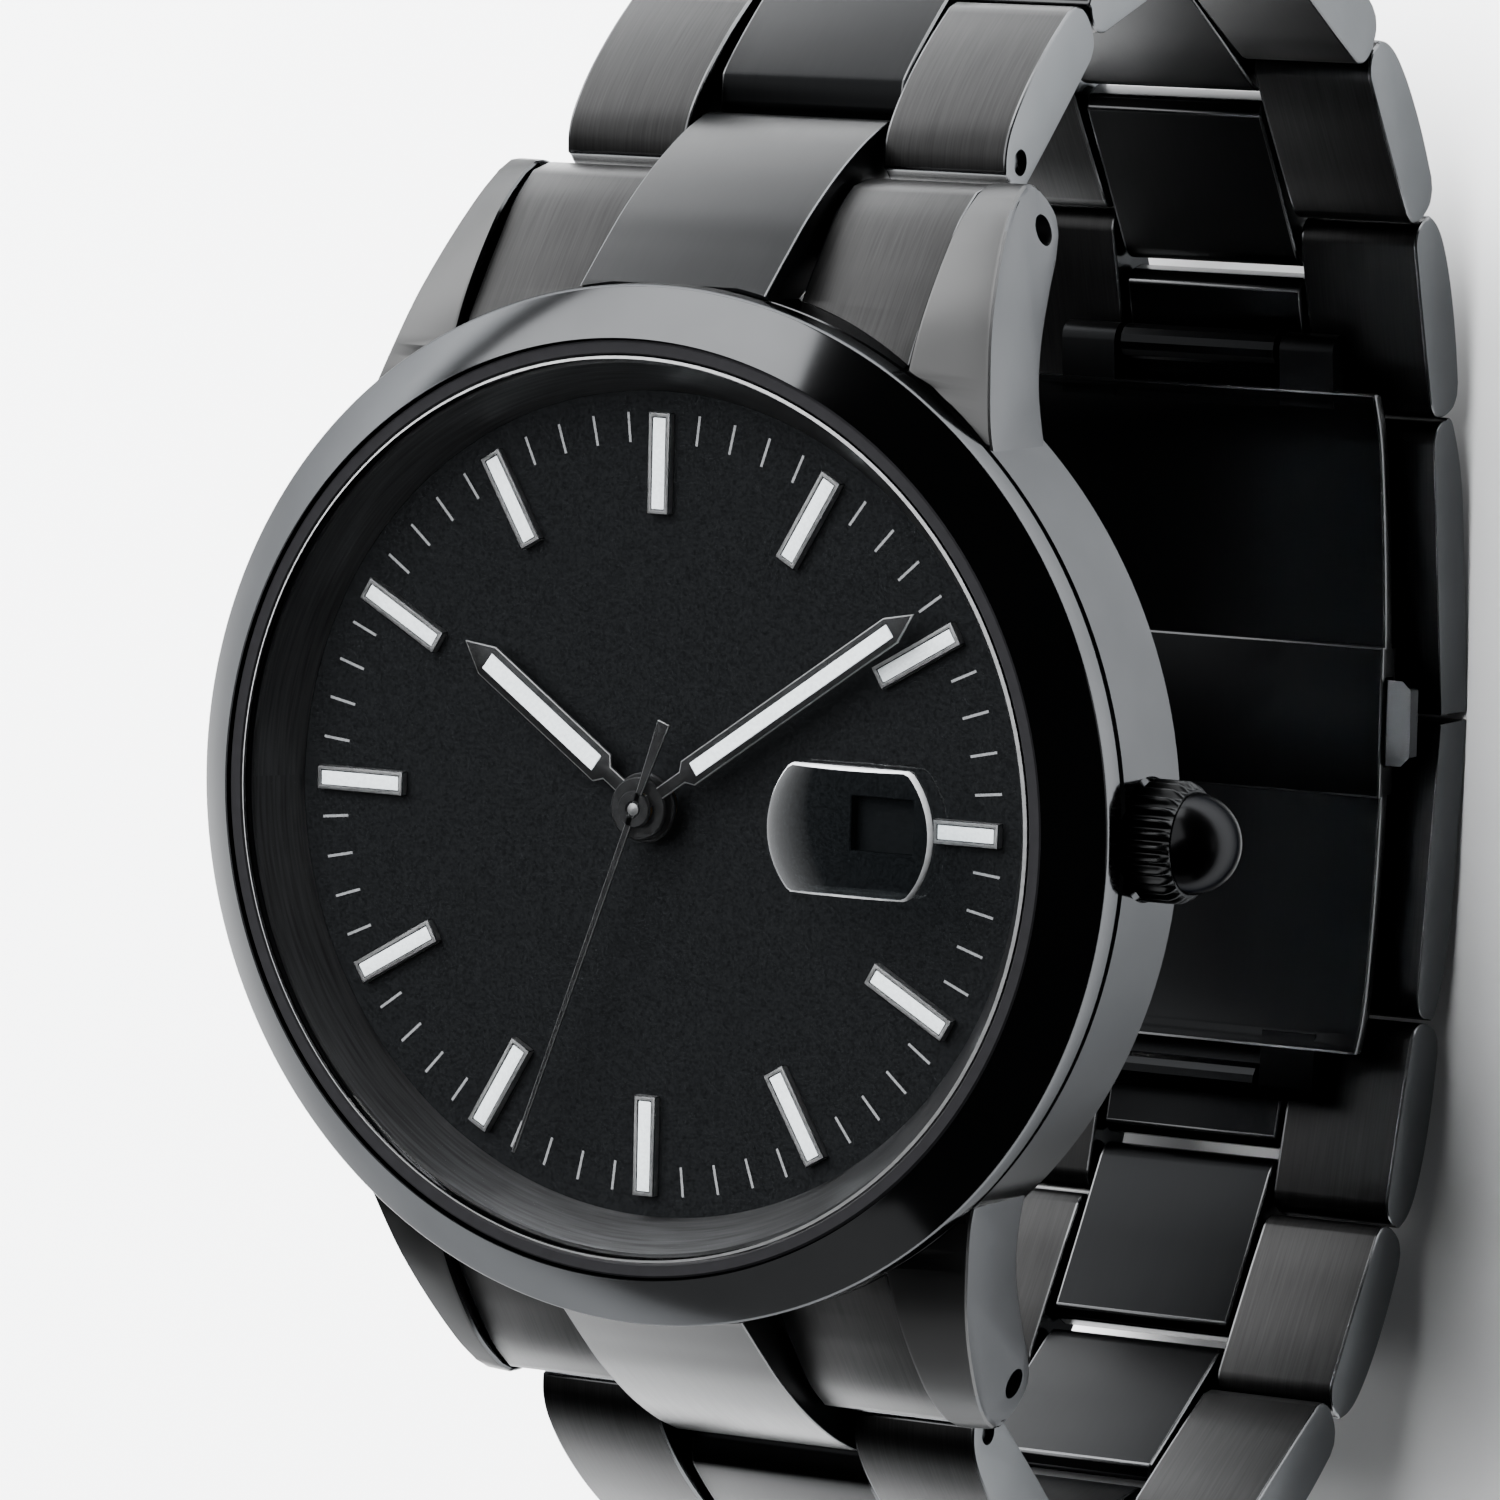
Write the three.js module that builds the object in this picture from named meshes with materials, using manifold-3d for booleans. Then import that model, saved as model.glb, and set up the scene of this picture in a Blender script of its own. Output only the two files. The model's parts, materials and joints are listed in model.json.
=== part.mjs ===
// A 40 mm automatic wristwatch on a steel H-link bracelet with a butterfly clasp.
// Millimetres. +Z points out of the dial, +Y to 12 o'clock, +X to 3 o'clock (the crown).
// The origin is the centre of the outer face of the case back.

import * as THREE from 'three';
import { mergeVertices } from 'three/addons/utils/BufferGeometryUtils.js';
import Module from 'manifold-3d';

const wasm = await Module();
wasm.setup();

// ---- driving dimensions -------------------------------------------------------------

const FINE = 60;                 // segments round the large outer rings
const ROUND = 36;                // segments round the inner rings
const SMALL = 12;                // segments round a pin or arbor

const CASE_R = 19.8;
const BEZEL_R = 20;
const BEZEL_INNER_R = 18;
const CASE_BOTTOM_Z = 3.8;       // lower edge of the polished case side
const CASE_TOP_Z = 8.4;
const BEZEL_WALL_TOP_Z = 9.72;
const BEZEL_TOP_Z = 11.38;
const CASE_BORE_R = 16.4;

const CRYSTAL_R = 17.34;
const CRYSTAL_BOTTOM_Z = 10.5;
const CRYSTAL_TOP_Z = 11.3;
const MAGNIFIER_X = 9.9;         // the date window and its lens
const MAGNIFIER_R = 3.55;
const MAGNIFIER_FLAT = 2.45;     // half height between the lens's two flats
const MAGNIFIER_RISE = 0.7;

const DIAL_TOP_Z = 8.62;
const DIAL_BOTTOM_Z = 8.22;
const DIAL_R = 16.2;
const REHAUT_FOOT_R = 15.9;

const HOUR_HAND_Z = 9.4;
const MINUTE_HAND_Z = 9.85;
const SECONDS_HAND_Z = 10.2;
const HAND_THICKNESS = 0.15;
const HOUR_ANGLE = 305.2;        // degrees clockwise from 12 o'clock
const MINUTE_ANGLE = 54.8;
const SECONDS_ANGLE = 200.2;

const MOVEMENT_R = 12.8;
const PLATE_TOP_Z = 7.6;
const PLATE_BOTTOM_Z = 6.9;
const BRIDGE_TOP_Z = 4.4;
const BRIDGE_BOTTOM_Z = 3.8;
const ARBOR_R = 0.16;

const STEM_Z = 6.2;              // height of the crown and winding stem
const CROWN_R = 2.35;
const CROWN_FACE_X = 20.05;      // inner face of the crown, pushed in
const CROWN_RIM_X = 21.75;
const CABOCHON_R = 1.95;

const LUG_INNER_X = 9.95;        // half of the 20 mm lug width, less a hair
const LUG_ROOT_X = 14.0;         // outer flank of a lug where it leaves the case
const LUG_ROOT_Y = 14.6;
const LUG_TIP_X = 11.65;         // outer flank of a lug at its tip
const LUG_TIP_Y = 24.3;
const LUG_CROWN = 0.55;          // rise of a lug's top from its outer to its inner flank
const SPRING_BAR_Y = 22.3;
const SPRING_BAR_Z = 0.9;

const PITCH = 8.84;              // from one bracelet pin to the next
const BAND_X = 9.8;              // half width of the bracelet
const OUTER_X = 4.4;             // inner side of an outer link
const CENTRE_X = 4.1;            // half width of a centre link
const PIN_R = 0.5;
const PIN_BORE_R = 0.8;

// First bracelet pin and the direction of each link, in degrees below +Y.
const FIRST_PIN = [24.71, -1.01];
const LINK_DIRECTIONS = [48.2, 72, 97, 122, 147, 165];
const CLASP_END_DIRECTION = 173.7;
const ARM_TIP_PIVOT = [2.6, -40.38];
const BASE_PIVOT = [15.5, -36.1];

// ---- materials ----------------------------------------------------------------------

const metal = (color, roughness) =>
  new THREE.MeshStandardMaterial({ color, roughness, metalness: 1 });
const matte = (color, roughness = 0.6) =>
  new THREE.MeshStandardMaterial({ color, roughness, metalness: 0 });

const BLACK_POLISHED = metal(0x26282b, 0.12);
const BLACK_BRUSHED = metal(0x2e3032, 0.4);
const STEEL = metal(0xb8bbbd, 0.3);
const BRASS = metal(0xc9a45c, 0.35);
const HAND_METAL = metal(0x2a2b2d, 0.35);
const RUBY_STEEL = metal(0x9b9da0, 0.25);
const DIAL_BLACK = matte(0x0c0d0e);
const RUBBER = matte(0x101010, 0.8);
const PLASTIC_WHITE = matte(0xe8e8e4, 0.5);
const GLASS = new THREE.MeshStandardMaterial({
  color: 0xe6eef2, roughness: 0.02, metalness: 0, transparent: true, opacity: 0.3,
});

// ---- solids -------------------------------------------------------------------------

const radians = (degrees) => degrees * Math.PI / 180;

/** A closed three.js geometry as a manifold solid. */
function solid(geometry) {
  const bare = geometry.clone();
  bare.deleteAttribute('normal');
  bare.deleteAttribute('uv');
  const merged = mergeVertices(bare, 1e-4);
  const corners = merged.index.array;
  const kept = [];
  for (let i = 0; i < corners.length; i += 3) {
    const [a, b, c] = [corners[i], corners[i + 1], corners[i + 2]];
    if (a !== b && b !== c && c !== a) kept.push(a, b, c);
  }
  return new wasm.Manifold(new wasm.Mesh({
    numProp: 3,
    vertProperties: new Float32Array(merged.attributes.position.array),
    triVerts: new Uint32Array(kept),
  }));
}

/** A manifold solid as a three.js geometry. */
function geometryOf(body) {
  const mesh = body.getMesh();
  const geometry = new THREE.BufferGeometry();
  geometry.setAttribute('position', new THREE.BufferAttribute(mesh.vertProperties, 3));
  geometry.setIndex(new THREE.BufferAttribute(mesh.triVerts, 1));
  return geometry;
}

const join = (...bodies) => bodies.reduce((sum, body) => sum.add(body));
const cut = (body, ...tools) => tools.reduce((rest, tool) => rest.subtract(tool), body);

/** A profile of [radius, z] points turned about Z; it runs up the outside and down the inside. */
function turned(profile, segments = ROUND) {
  const points = profile.map(([r, z]) => new THREE.Vector2(r, z));
  const onAxis = profile[0][0] === 0 && profile.at(-1)[0] === 0;
  if (!onAxis) points.push(points[0].clone());
  const geometry = new THREE.LatheGeometry(points, segments);
  geometry.rotateX(Math.PI / 2);
  return solid(geometry);
}

/** A flat ring, or a disc when inner is 0. */
function ring(inner, outer, low, high, segments = ROUND) {
  if (inner === 0) return turned([[0, low], [outer, low], [outer, high], [0, high]], segments);
  return turned([[inner, low], [outer, low], [outer, high], [inner, high]], segments);
}

const shapeOf = (points) => new THREE.Shape(points.map(([x, y]) => new THREE.Vector2(x, y)));

/** An outline in the XY plane, from low to high. */
function slab(shape, low, high, curveSegments = 8) {
  const options = { depth: high - low, bevelEnabled: false, curveSegments };
  return solid(new THREE.ExtrudeGeometry(shape, options).translate(0, 0, low));
}

/** An outline in the YZ plane, from x = low to x = high. */
function slabAlongX(shape, low, high, curveSegments = 8) {
  const options = { depth: high - low, bevelEnabled: false, curveSegments };
  const geometry = new THREE.ExtrudeGeometry(shape, options).translate(0, 0, low);
  const axes = new THREE.Matrix4().makeBasis(
    new THREE.Vector3(0, 1, 0), new THREE.Vector3(0, 0, 1), new THREE.Vector3(1, 0, 0));
  return solid(geometry.applyMatrix4(axes));
}

/** A rod of radius r along X. */
function rodAlongX(r, low, high, y = 0, z = 0, segments = SMALL) {
  const geometry = new THREE.CylinderGeometry(r, r, high - low, segments);
  geometry.rotateZ(-Math.PI / 2).translate((low + high) / 2, y, z);
  return solid(geometry);
}

function block(lowCorner, highCorner) {
  const size = highCorner.map((high, axis) => high - lowCorner[axis]);
  const centre = highCorner.map((high, axis) => (high + lowCorner[axis]) / 2);
  return solid(new THREE.BoxGeometry(...size).translate(...centre));
}

/** A toothed disc: tips and roots alternate round the rim. */
function toothed(teeth, tipR, rootR, low, high) {
  const points = [];
  for (let i = 0; i < teeth * 2; i += 1) {
    const angle = Math.PI * i / teeth;
    const r = i % 2 === 0 ? tipR : rootR;
    points.push([r * Math.cos(angle), r * Math.sin(angle)]);
  }
  return slab(shapeOf(points), low, high);
}

const arbor = (low, high, r = ARBOR_R) => ring(0, r, low, high, 12);

const group = new THREE.Group();

function place(name, body, material, parent = group) {
  const mesh = new THREE.Mesh(body.isBufferGeometry ? body : geometryOf(body), material);
  mesh.name = name;
  parent.add(mesh);
  return mesh;
}

// ---- case ---------------------------------------------------------------------------

/**
 * One lug at the corner (sx, sy): a side outline drawn out from the flat inner flank to an outer
 * flank that runs in towards the tip. The top slopes down from the inner flank to the outer one.
 */
function lug(sx, sy) {
  const side = [
    [12.5, 8.2], [15, 8.2], [17, 7.5], [19, 6.55], [21, 5.2], [22.8, 3.8], [23.85, 2.7],
    [24.3, 1.7], [24.1, 0.8], [23.5, 0.0], [22.8, -0.35], [22.0, -0.2], [21.1, 0.4], [19.7, 1.7],
    [17.85, 3.0], [16, 3.8], [12.5, 4.2],
  ];
  const narrowing = (LUG_ROOT_X - LUG_TIP_X) / (LUG_TIP_Y - LUG_ROOT_Y);
  const body = slabAlongX(shapeOf(side), 0, 1).warp((corner) => {
    const [share, y, z] = corner;
    const outerX = LUG_ROOT_X - narrowing * Math.max(0, y - LUG_ROOT_Y);
    const lift = (1 - share) * LUG_CROWN * Math.min(1, Math.max(0, z / 4));
    corner[0] = LUG_INNER_X + share * (outerX - LUG_INNER_X);
    corner[2] = Math.min(CASE_TOP_Z - 0.2, z + lift);
  });
  return body.scale([sx, sy, 1]);
}

function midCase() {
  const body = turned([
    [17.75, 1.2], [18.4, 1.4], [CASE_R, CASE_BOTTOM_Z], [CASE_R, CASE_TOP_Z],
    [CASE_BORE_R, CASE_TOP_Z], [CASE_BORE_R, 2.45], [17.75, 2.45],
  ], FINE);
  const lugs = [[1, 1], [1, -1], [-1, 1], [-1, -1]].map(([sx, sy]) => lug(sx, sy));
  const whole = join(body, ...lugs);
  const bore = ring(0, CASE_BORE_R, 2.45, 9, FINE);
  const barHoles = [1, -1].map((sy) => rodAlongX(0.55, -15, 15, sy * SPRING_BAR_Y, SPRING_BAR_Z, 12));
  const crownScoop = rodAlongX(3.1, 19.2, 22, 0, STEM_Z, 32);
  const tubeHole = rodAlongX(1.15, 15, 21, 0, STEM_Z, SMALL);
  return cut(whole, bore, ...barHoles, crownScoop, tubeHole);
}

place('mid_case', midCase(), BLACK_POLISHED);

place('bezel', turned([
  [17.3, 8.42], [19.6, 8.42], [19.6, 8.55], [BEZEL_R, 8.55], [BEZEL_R, BEZEL_WALL_TOP_Z],
  [BEZEL_INNER_R, BEZEL_TOP_Z], [BEZEL_INNER_R, 9.5], [17.3, 9.5],
], FINE), BLACK_POLISHED);

place('crystal_gasket', ring(17.42, 17.92, 9.6, 11.2, FINE), RUBBER);
place('crystal', ring(0, CRYSTAL_R, CRYSTAL_BOTTOM_Z, CRYSTAL_TOP_Z, FINE), GLASS);

/** The date lens: a low dome with a flat cut off its top and its bottom. */
function magnifier() {
  const dome = turned([
    [0, 0], [MAGNIFIER_R, 0], [MAGNIFIER_R, 0.2], [2.5, 0.52], [1.3, 0.65], [0, MAGNIFIER_RISE],
  ], 32);
  const keep = block([-4, -MAGNIFIER_FLAT, -1], [4, MAGNIFIER_FLAT, 2]);
  return dome.intersect(keep).translate([MAGNIFIER_X, 0, CRYSTAL_TOP_Z + 0.02]);
}

place('date_magnifier', magnifier(), GLASS);

place('rehaut_ring', turned([
  [REHAUT_FOOT_R, DIAL_TOP_Z + 0.03], [17.2, DIAL_TOP_Z + 0.03], [17.2, 10.46], [17.1, 10.46],
], FINE), BLACK_BRUSHED);

function dial() {
  const disc = ring(0.95, DIAL_R, DIAL_BOTTOM_Z, DIAL_TOP_Z);
  const dateWindow = block([MAGNIFIER_X - 1.35, -1.05, 8], [MAGNIFIER_X + 1.35, 1.05, 9]);
  return cut(disc, dateWindow);
}

place('dial', dial(), DIAL_BLACK);

/** The screwed ring of the back, with six wrench notches. */
place('case_back', cut(turned([
  [12.3, 0.05], [16.6, 0], [17.6, 0.4], [17.6, 2.3], [16.3, 2.3], [16.3, 3], [12.9, 3],
  [12.9, 1.55], [12.3, 1.55],
], ROUND), ...[0, 60, 120, 180, 240, 300].map((angle) =>
  block([15.2, -1, -1], [16.9, 1, 0.7]).rotate([0, 0, angle]))), BLACK_BRUSHED);
place('case_back_glass', turned([
  [0, 0], [12.1, 0], [12.2, 0.1], [12.2, 1.5], [0, 1.5],
]), GLASS);
place('case_back_gasket', ring(16.65, 17.5, 2.33, 2.42, 24), RUBBER);

place('crown_tube', cut(rodAlongX(1.1, 16.6, 19.9, 0, STEM_Z), rodAlongX(0.7, 16, 21, 0, STEM_Z)),
  STEEL);

// ---- movement -----------------------------------------------------------------------

const BARREL = [4.0, 5.6];
const THIRD = [3.4, -3.3];
const ESCAPE = [-3.0, -3.6];
const PALLET = [-5.55, -4.11];
const BALANCE = [-7.0, -4.4];
const CROWN_WHEEL = [8.6, 2.9];

// Tooth counts: the minute arbor makes 1/60 turn for each turn of the fourth (seconds) wheel.
const PINION_TEETH = 6;
const BARREL_TEETH = 42;
const CENTRE_TEETH = 48;
const THIRD_TEETH = 45;
const FOURTH_TEETH = 60;
const ESCAPE_TEETH = 15;
const WINDING_TEETH = 24;

place('movement_holder', cut(ring(12.95, 16.2, 3.1, 8.15),
  rodAlongX(1.3, 12, 17, 0, STEM_Z)), PLASTIC_WHITE);

place('main_plate', cut(ring(1.0, MOVEMENT_R, PLATE_BOTTOM_Z, PLATE_TOP_Z),
  block([8.2, -1.5, 6], [13.5, 1.5, 8])), BRASS);

/** A bridge: part of the movement's disc on posts that stand on the main plate. */
function bridge(outline, posts) {
  const plate = slab(shapeOf(outline), BRIDGE_BOTTOM_Z, BRIDGE_TOP_Z)
    .intersect(ring(0, MOVEMENT_R - 0.1, 3, 5));
  const feet = posts.map(([x, y]) => ring(0, 0.75, 4.2, PLATE_BOTTOM_Z - 0.02, 12).translate([x, y, 0]));
  return cut(join(plate, ...feet), ring(0, 1.0, 3, 5, SMALL));
}

place('barrel_bridge', bridge([[-13, 0.6], [13, 0.6], [13, 13], [-13, 13]],
  [[-9, 5], [-4, 10.5], [11, 5.2]]), STEEL);
place('train_bridge', bridge([[-2.4, 0.4], [-2.4, -13], [13, -13], [13, 0.4]],
  [[0.5, -11], [9.5, -6.5]]), STEEL);
place('balance_bridge', bridge([[-2.6, -2.6], [-2.6, -13], [-13, -13], [-13, -2.6]],
  [[-6.5, -9.6]]), STEEL);

place('mainspring_barrel', join(
  toothed(BARREL_TEETH, 5.55, 5.3, 6.3, 6.8), ring(0, 5.1, 5.6, 6.5), arbor(5.0, 6.86, 0.5),
).translate([...BARREL, 0]), BRASS);
place('ratchet_wheel', toothed(WINDING_TEETH, 2.6, 2.35, 4.5, 4.8).translate([...BARREL, 0]), STEEL);
place('crown_wheel', toothed(WINDING_TEETH, 2.65, 2.4, 4.5, 4.85).translate([...CROWN_WHEEL, 0]), STEEL);

place('third_wheel', join(
  toothed(THIRD_TEETH, 4.1, 3.9, 4.9, 5.08), toothed(PINION_TEETH, 0.56, 0.36, 5.2, 5.55),
  arbor(4.45, 6.85),
).translate([...THIRD, 0]), BRASS);

place('escape_wheel', join(
  toothed(ESCAPE_TEETH, 2.1, 1.75, 5.62, 5.76), toothed(PINION_TEETH, 0.5, 0.34, 4.5, 4.85),
  arbor(4.45, 6.85),
).translate([...ESCAPE, 0]), STEEL);

/** The pallet fork: two arms with stones towards the escape wheel and a lever to the balance. */
function palletFork() {
  const outline = [
    [1.5, 0.15], [1.5, -0.55], [1.25, -0.55], [1.25, -0.15], [-1.25, -0.15], [-1.25, -0.55],
    [-1.5, -0.55], [-1.5, 0.15], [-0.15, 0.15], [-0.1, 1.05], [0.1, 1.05], [0.15, 0.15],
  ];
  const towardsBalance = Math.atan2(BALANCE[1] - ESCAPE[1], BALANCE[0] - ESCAPE[0]);
  return join(slab(shapeOf(outline), 5.62, 5.76), arbor(4.45, 6.85))
    .rotate([0, 0, THREE.MathUtils.radToDeg(towardsBalance) - 90]).translate([...PALLET, 0]);
}

place('pallet_fork', palletFork(), RUBY_STEEL);

place('balance_wheel', join(
  ring(2.75, 3.2, 4.62, 5.05, 32), block([-2.85, -0.2, 4.7], [2.85, 0.2, 4.95]),
  arbor(4.45, 6.85, 0.2), ring(0, 0.55, 4.6, 5.1, 12),
).translate([...BALANCE, 0]), BRASS);

/** Date ring: an annulus under the dial with 31 inner teeth. */
function dateRing() {
  const teeth = 31;
  const inner = toothed(teeth, 8.4, 7.9, 7, 9);
  return cut(ring(0, 12.2, 7.75, 8.05), inner);
}

place('date_ring', dateRing(), PLASTIC_WHITE);

/** The rotor: a thin half disc with a heavy rim, hung on a ring round its axle. */
function rotor() {
  const half = block([-13, -13, 0], [13, 0.9, 5]);
  const web = ring(0, 11.8, 2.75, 3.1).intersect(half);
  const rim = ring(9.4, 12.2, 2.0, 3.1).intersect(half);
  const hub = ring(0, 1.7, 2.55, 3.3, 24);
  return cut(join(web, rim, hub), ring(0, 0.75, 1, 5, SMALL));
}

place('rotor', rotor(), STEEL);
place('rotor_axle', join(ring(0, 0.65, 2.3, 4.3, SMALL), ring(0, 1.3, 2.1, 2.45, SMALL)), STEEL);

// ---- winding ------------------------------------------------------------------------

/** Teeth round an axis along X, from x = low to x = high. */
function toothedAlongX(teeth, tipR, rootR, low, high) {
  const geometry = geometryOf(toothed(teeth, tipR, rootR, low, high));
  return solid(geometry.rotateY(Math.PI / 2)).translate([0, 0, STEM_Z]);
}

place('winding_pinion', cut(toothedAlongX(12, 1.28, 1.05, 8.6, 10.2),
  rodAlongX(0.62, 8, 11, 0, STEM_Z)), STEEL);
place('winding_stem', rodAlongX(0.55, 8.4, 20.02, 0, STEM_Z, 12), STEEL);

/** The crown: a fluted barrel with a chamfered rim, hollow behind, and a domed cabochon. */
function crown() {
  const flutes = toothedAlongX(30, CROWN_R, CROWN_R - 0.22, CROWN_FACE_X, CROWN_RIM_X);
  const chamfer = turned([
    [0, CROWN_FACE_X], [CROWN_R - 0.15, CROWN_FACE_X], [CROWN_R + 0.1, CROWN_FACE_X + 0.25],
    [CROWN_R + 0.1, CROWN_RIM_X - 0.35], [CROWN_R - 0.25, CROWN_RIM_X], [0, CROWN_RIM_X],
  ], 30);
  const barrel = flutes.intersect(alongX(chamfer));
  const ball = new THREE.SphereGeometry(CABOCHON_R, 24, 12).translate(CROWN_RIM_X - 0.15, 0, STEM_Z);
  const dome = solid(ball).intersect(block([CROWN_RIM_X - 0.5, -3, STEM_Z - 3], [25, 3, STEM_Z + 3]));
  return join(barrel, dome);
}

function alongX(body) {
  return solid(geometryOf(body).rotateY(Math.PI / 2)).translate([0, 0, STEM_Z]);
}

place('crown', crown(), BLACK_POLISHED);
place('crown_gasket', alongX(ring(0.58, 0.66, 17.6, 18.4, SMALL)), RUBBER);

// ---- hands --------------------------------------------------------------------------

/** A hand pointing to +Y: hub, narrow neck, straight body and pointed tip. */
function hand(hubR, boreR, neck, bodyStart, bodyHalf, bodyEnd, tip, height) {
  const outline = [
    [neck, 0], [neck, bodyStart - 0.25], [bodyHalf, bodyStart], [bodyHalf, bodyEnd], [0, tip],
    [-bodyHalf, bodyEnd], [-bodyHalf, bodyStart], [-neck, bodyStart - 0.25], [-neck, 0],
  ];
  const top = height + HAND_THICKNESS;
  return cut(join(slab(shapeOf(outline), height, top), ring(0, hubR, height, top, 24)),
    ring(0, boreR, 9, 11, SMALL));
}

/** A body turned clockwise from 12 o'clock. */
const clockwise = (body, degrees) => body.rotate([0, 0, -degrees]);

place('hour_hand', clockwise(hand(1.35, 0.8, 0.3, 2.5, 0.67, 8.75, 10.05, HOUR_HAND_Z),
  HOUR_ANGLE), HAND_METAL);
place('minute_hand', clockwise(hand(1.2, 0.5, 0.25, 2.75, 0.55, 12.75, 13.9, MINUTE_HAND_Z),
  MINUTE_ANGLE), HAND_METAL);

function secondsHand() {
  const top = SECONDS_HAND_Z + HAND_THICKNESS;
  const outline = [[0.2, -3.4], [0.28, -3.4], [0.12, 0], [0.07, 14.6], [-0.07, 14.6], [-0.12, 0],
    [-0.28, -3.4]];
  return join(slab(shapeOf(outline), SECONDS_HAND_Z, top), ring(0, 0.92, SECONDS_HAND_Z, top, 24));
}

place('seconds_hand', clockwise(secondsHand(), SECONDS_ANGLE), HAND_METAL);

// The three tubes of the motion work, one inside the other, with running clearance.
place('hour_wheel', cut(join(toothed(28, 3.0, 2.75, 7.66, 7.74), ring(0, 0.76, 7.66, 9.5, SMALL)),
  ring(0, 0.6, 7, 10, SMALL)), BRASS);
place('cannon_pinion', cut(join(
  toothed(CENTRE_TEETH, 4.12, 3.92, 5.3, 5.45), toothed(PINION_TEETH, 1.2, 0.9, 5.6, 6.8),
  ring(0, 0.46, 5.3, 9.98, SMALL),
), ring(0, 0.3, 5, 10.5, SMALL)), BRASS);
place('fourth_wheel', join(
  toothed(FOURTH_TEETH, 4.14, 3.96, 4.55, 4.7), toothed(PINION_TEETH, 0.58, 0.38, 4.75, 5.2),
  arbor(4.45, 10.18),
), BRASS);

// ---- end links ----------------------------------------------------------------------

/** The end link at 12 o'clock: two shoulders between the lugs and a raised tongue. */
function endLink() {
  const shoulderOutline = [
    [16.5, 7.75], [18.2, 6.95], [19.9, 5.75], [20.9, 4.9], [22.6, 3.42], [23.7, 2.1], [23.85, 0.85],
    [23.4, 0.1], [21.5, 0.0], [20.4, 1.2], [18.5, 3.0], [16.5, 3.9],
  ];
  const tongueOutline = [
    [19.5, 8.85], [20.4, 7.8], [21.36, 6.74], [22.66, 5.23], [24.15, 3.12], [25.35, 0.97],
    [26.15, -0.95], [25.8, -1.5], [25.2, -2.05], [24.4, -2.1], [23.65, -1.5], [23.2, 0.2],
    [21.5, 1.0], [19.5, 4.0],
  ];
  const reach = 9.72;
  const tongue = slabAlongX(shapeOf(tongueOutline), -CENTRE_X, CENTRE_X);
  const shoulders = slabAlongX(shapeOf(shoulderOutline), -reach, reach);
  const seams = [-1, 1].map((side) => {
    const middle = side * (CENTRE_X + OUTER_X) / 2;
    const half = (OUTER_X - CENTRE_X) / 2;
    return slabAlongX(shapeOf([[15, 9], [24.5, 6], [24.5, -1], [23.1, 0.4], [21.8, 2.2], [19.6, 5.2],
      [15, 7]]), middle - half, middle + half);
  });
  return cut(join(cut(shoulders, ...seams), tongue),
    ring(0, CASE_R + 0.3, -1, 12, FINE),
    rodAlongX(0.85, -12, 12, SPRING_BAR_Y, SPRING_BAR_Z),
    rodAlongX(PIN_BORE_R, -12, 12, ...FIRST_PIN));
}

/** A sprung bar with stepped tips that reach into the lugs. */
function springBar() {
  return join(
    rodAlongX(0.75, -9.6, 9.6, SPRING_BAR_Y, SPRING_BAR_Z, 12),
    rodAlongX(0.4, -10.9, 10.9, SPRING_BAR_Y, SPRING_BAR_Z, 12));
}

// ---- bracelet links -----------------------------------------------------------------
// A link lies in its own frame: Y runs from its pin to the next pin, Z points outwards.

const OUTER_NEAR = [[-1.15, 0.55], [0.0, 1.12], [0.93, 1.38]];
const OUTER_UNDER_NEAR = [[1.4, -1.02], [-0.3, -1.02], [-0.95, -0.35]];

const OUTER_OUTLINE = [
  ...OUTER_NEAR, [2.7, 1.6], [5.0, 1.68], [6.9, 1.64], [7.4, 1.25], [7.4, -0.35], [6.9, -0.84],
  [4.0, -0.93], ...OUTER_UNDER_NEAR,
];

const CENTRE_NEAR = [[2.0, 0.62], [2.85, 1.5]];
const CENTRE_UNDER_NEAR = [[2.2, -0.9], [1.9, -0.3]];

const CENTRE_OUTLINE = [
  ...CENTRE_NEAR, [5.0, 1.62], [7.4, 1.58], [PITCH + 0.5, 1.4], [PITCH + 1.1, 0.9],
  [PITCH + 1.25, 0.2], [PITCH + 1.0, -0.6], [PITCH + 0.3, -0.98], [5.5, -0.9], ...CENTRE_UNDER_NEAR,
];

/** The two outer bars of a link, with a blind hole in each flank where the pin is seen. */
function outerBars(outline) {
  const bars = [-1, 1].map((side) =>
    slabAlongX(shapeOf(outline), Math.min(side * OUTER_X, side * BAND_X),
      Math.max(side * OUTER_X, side * BAND_X)));
  const holes = [-1, 1].map((side) => rodAlongX(0.55, side * 9.8 - 0.5, side * 9.8 + 0.5, 0, 0, 8));
  return cut(join(...bars), ...holes);
}

/** An H-shaped link: outer bars and centre bar on a pressed cross pin, and its hinge pin. */
function link() {
  const centre = slabAlongX(shapeOf(CENTRE_OUTLINE), -CENTRE_X, CENTRE_X);
  const bore = rodAlongX(PIN_BORE_R, -6, 6, PITCH, 0, 10);
  return join(
    outerBars(OUTER_OUTLINE), cut(centre, bore),
    rodAlongX(0.55, -9, 9, 4.7, 0.35, 6), rodAlongX(PIN_R, -9, 9, 0, 0, 8));
}

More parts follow.
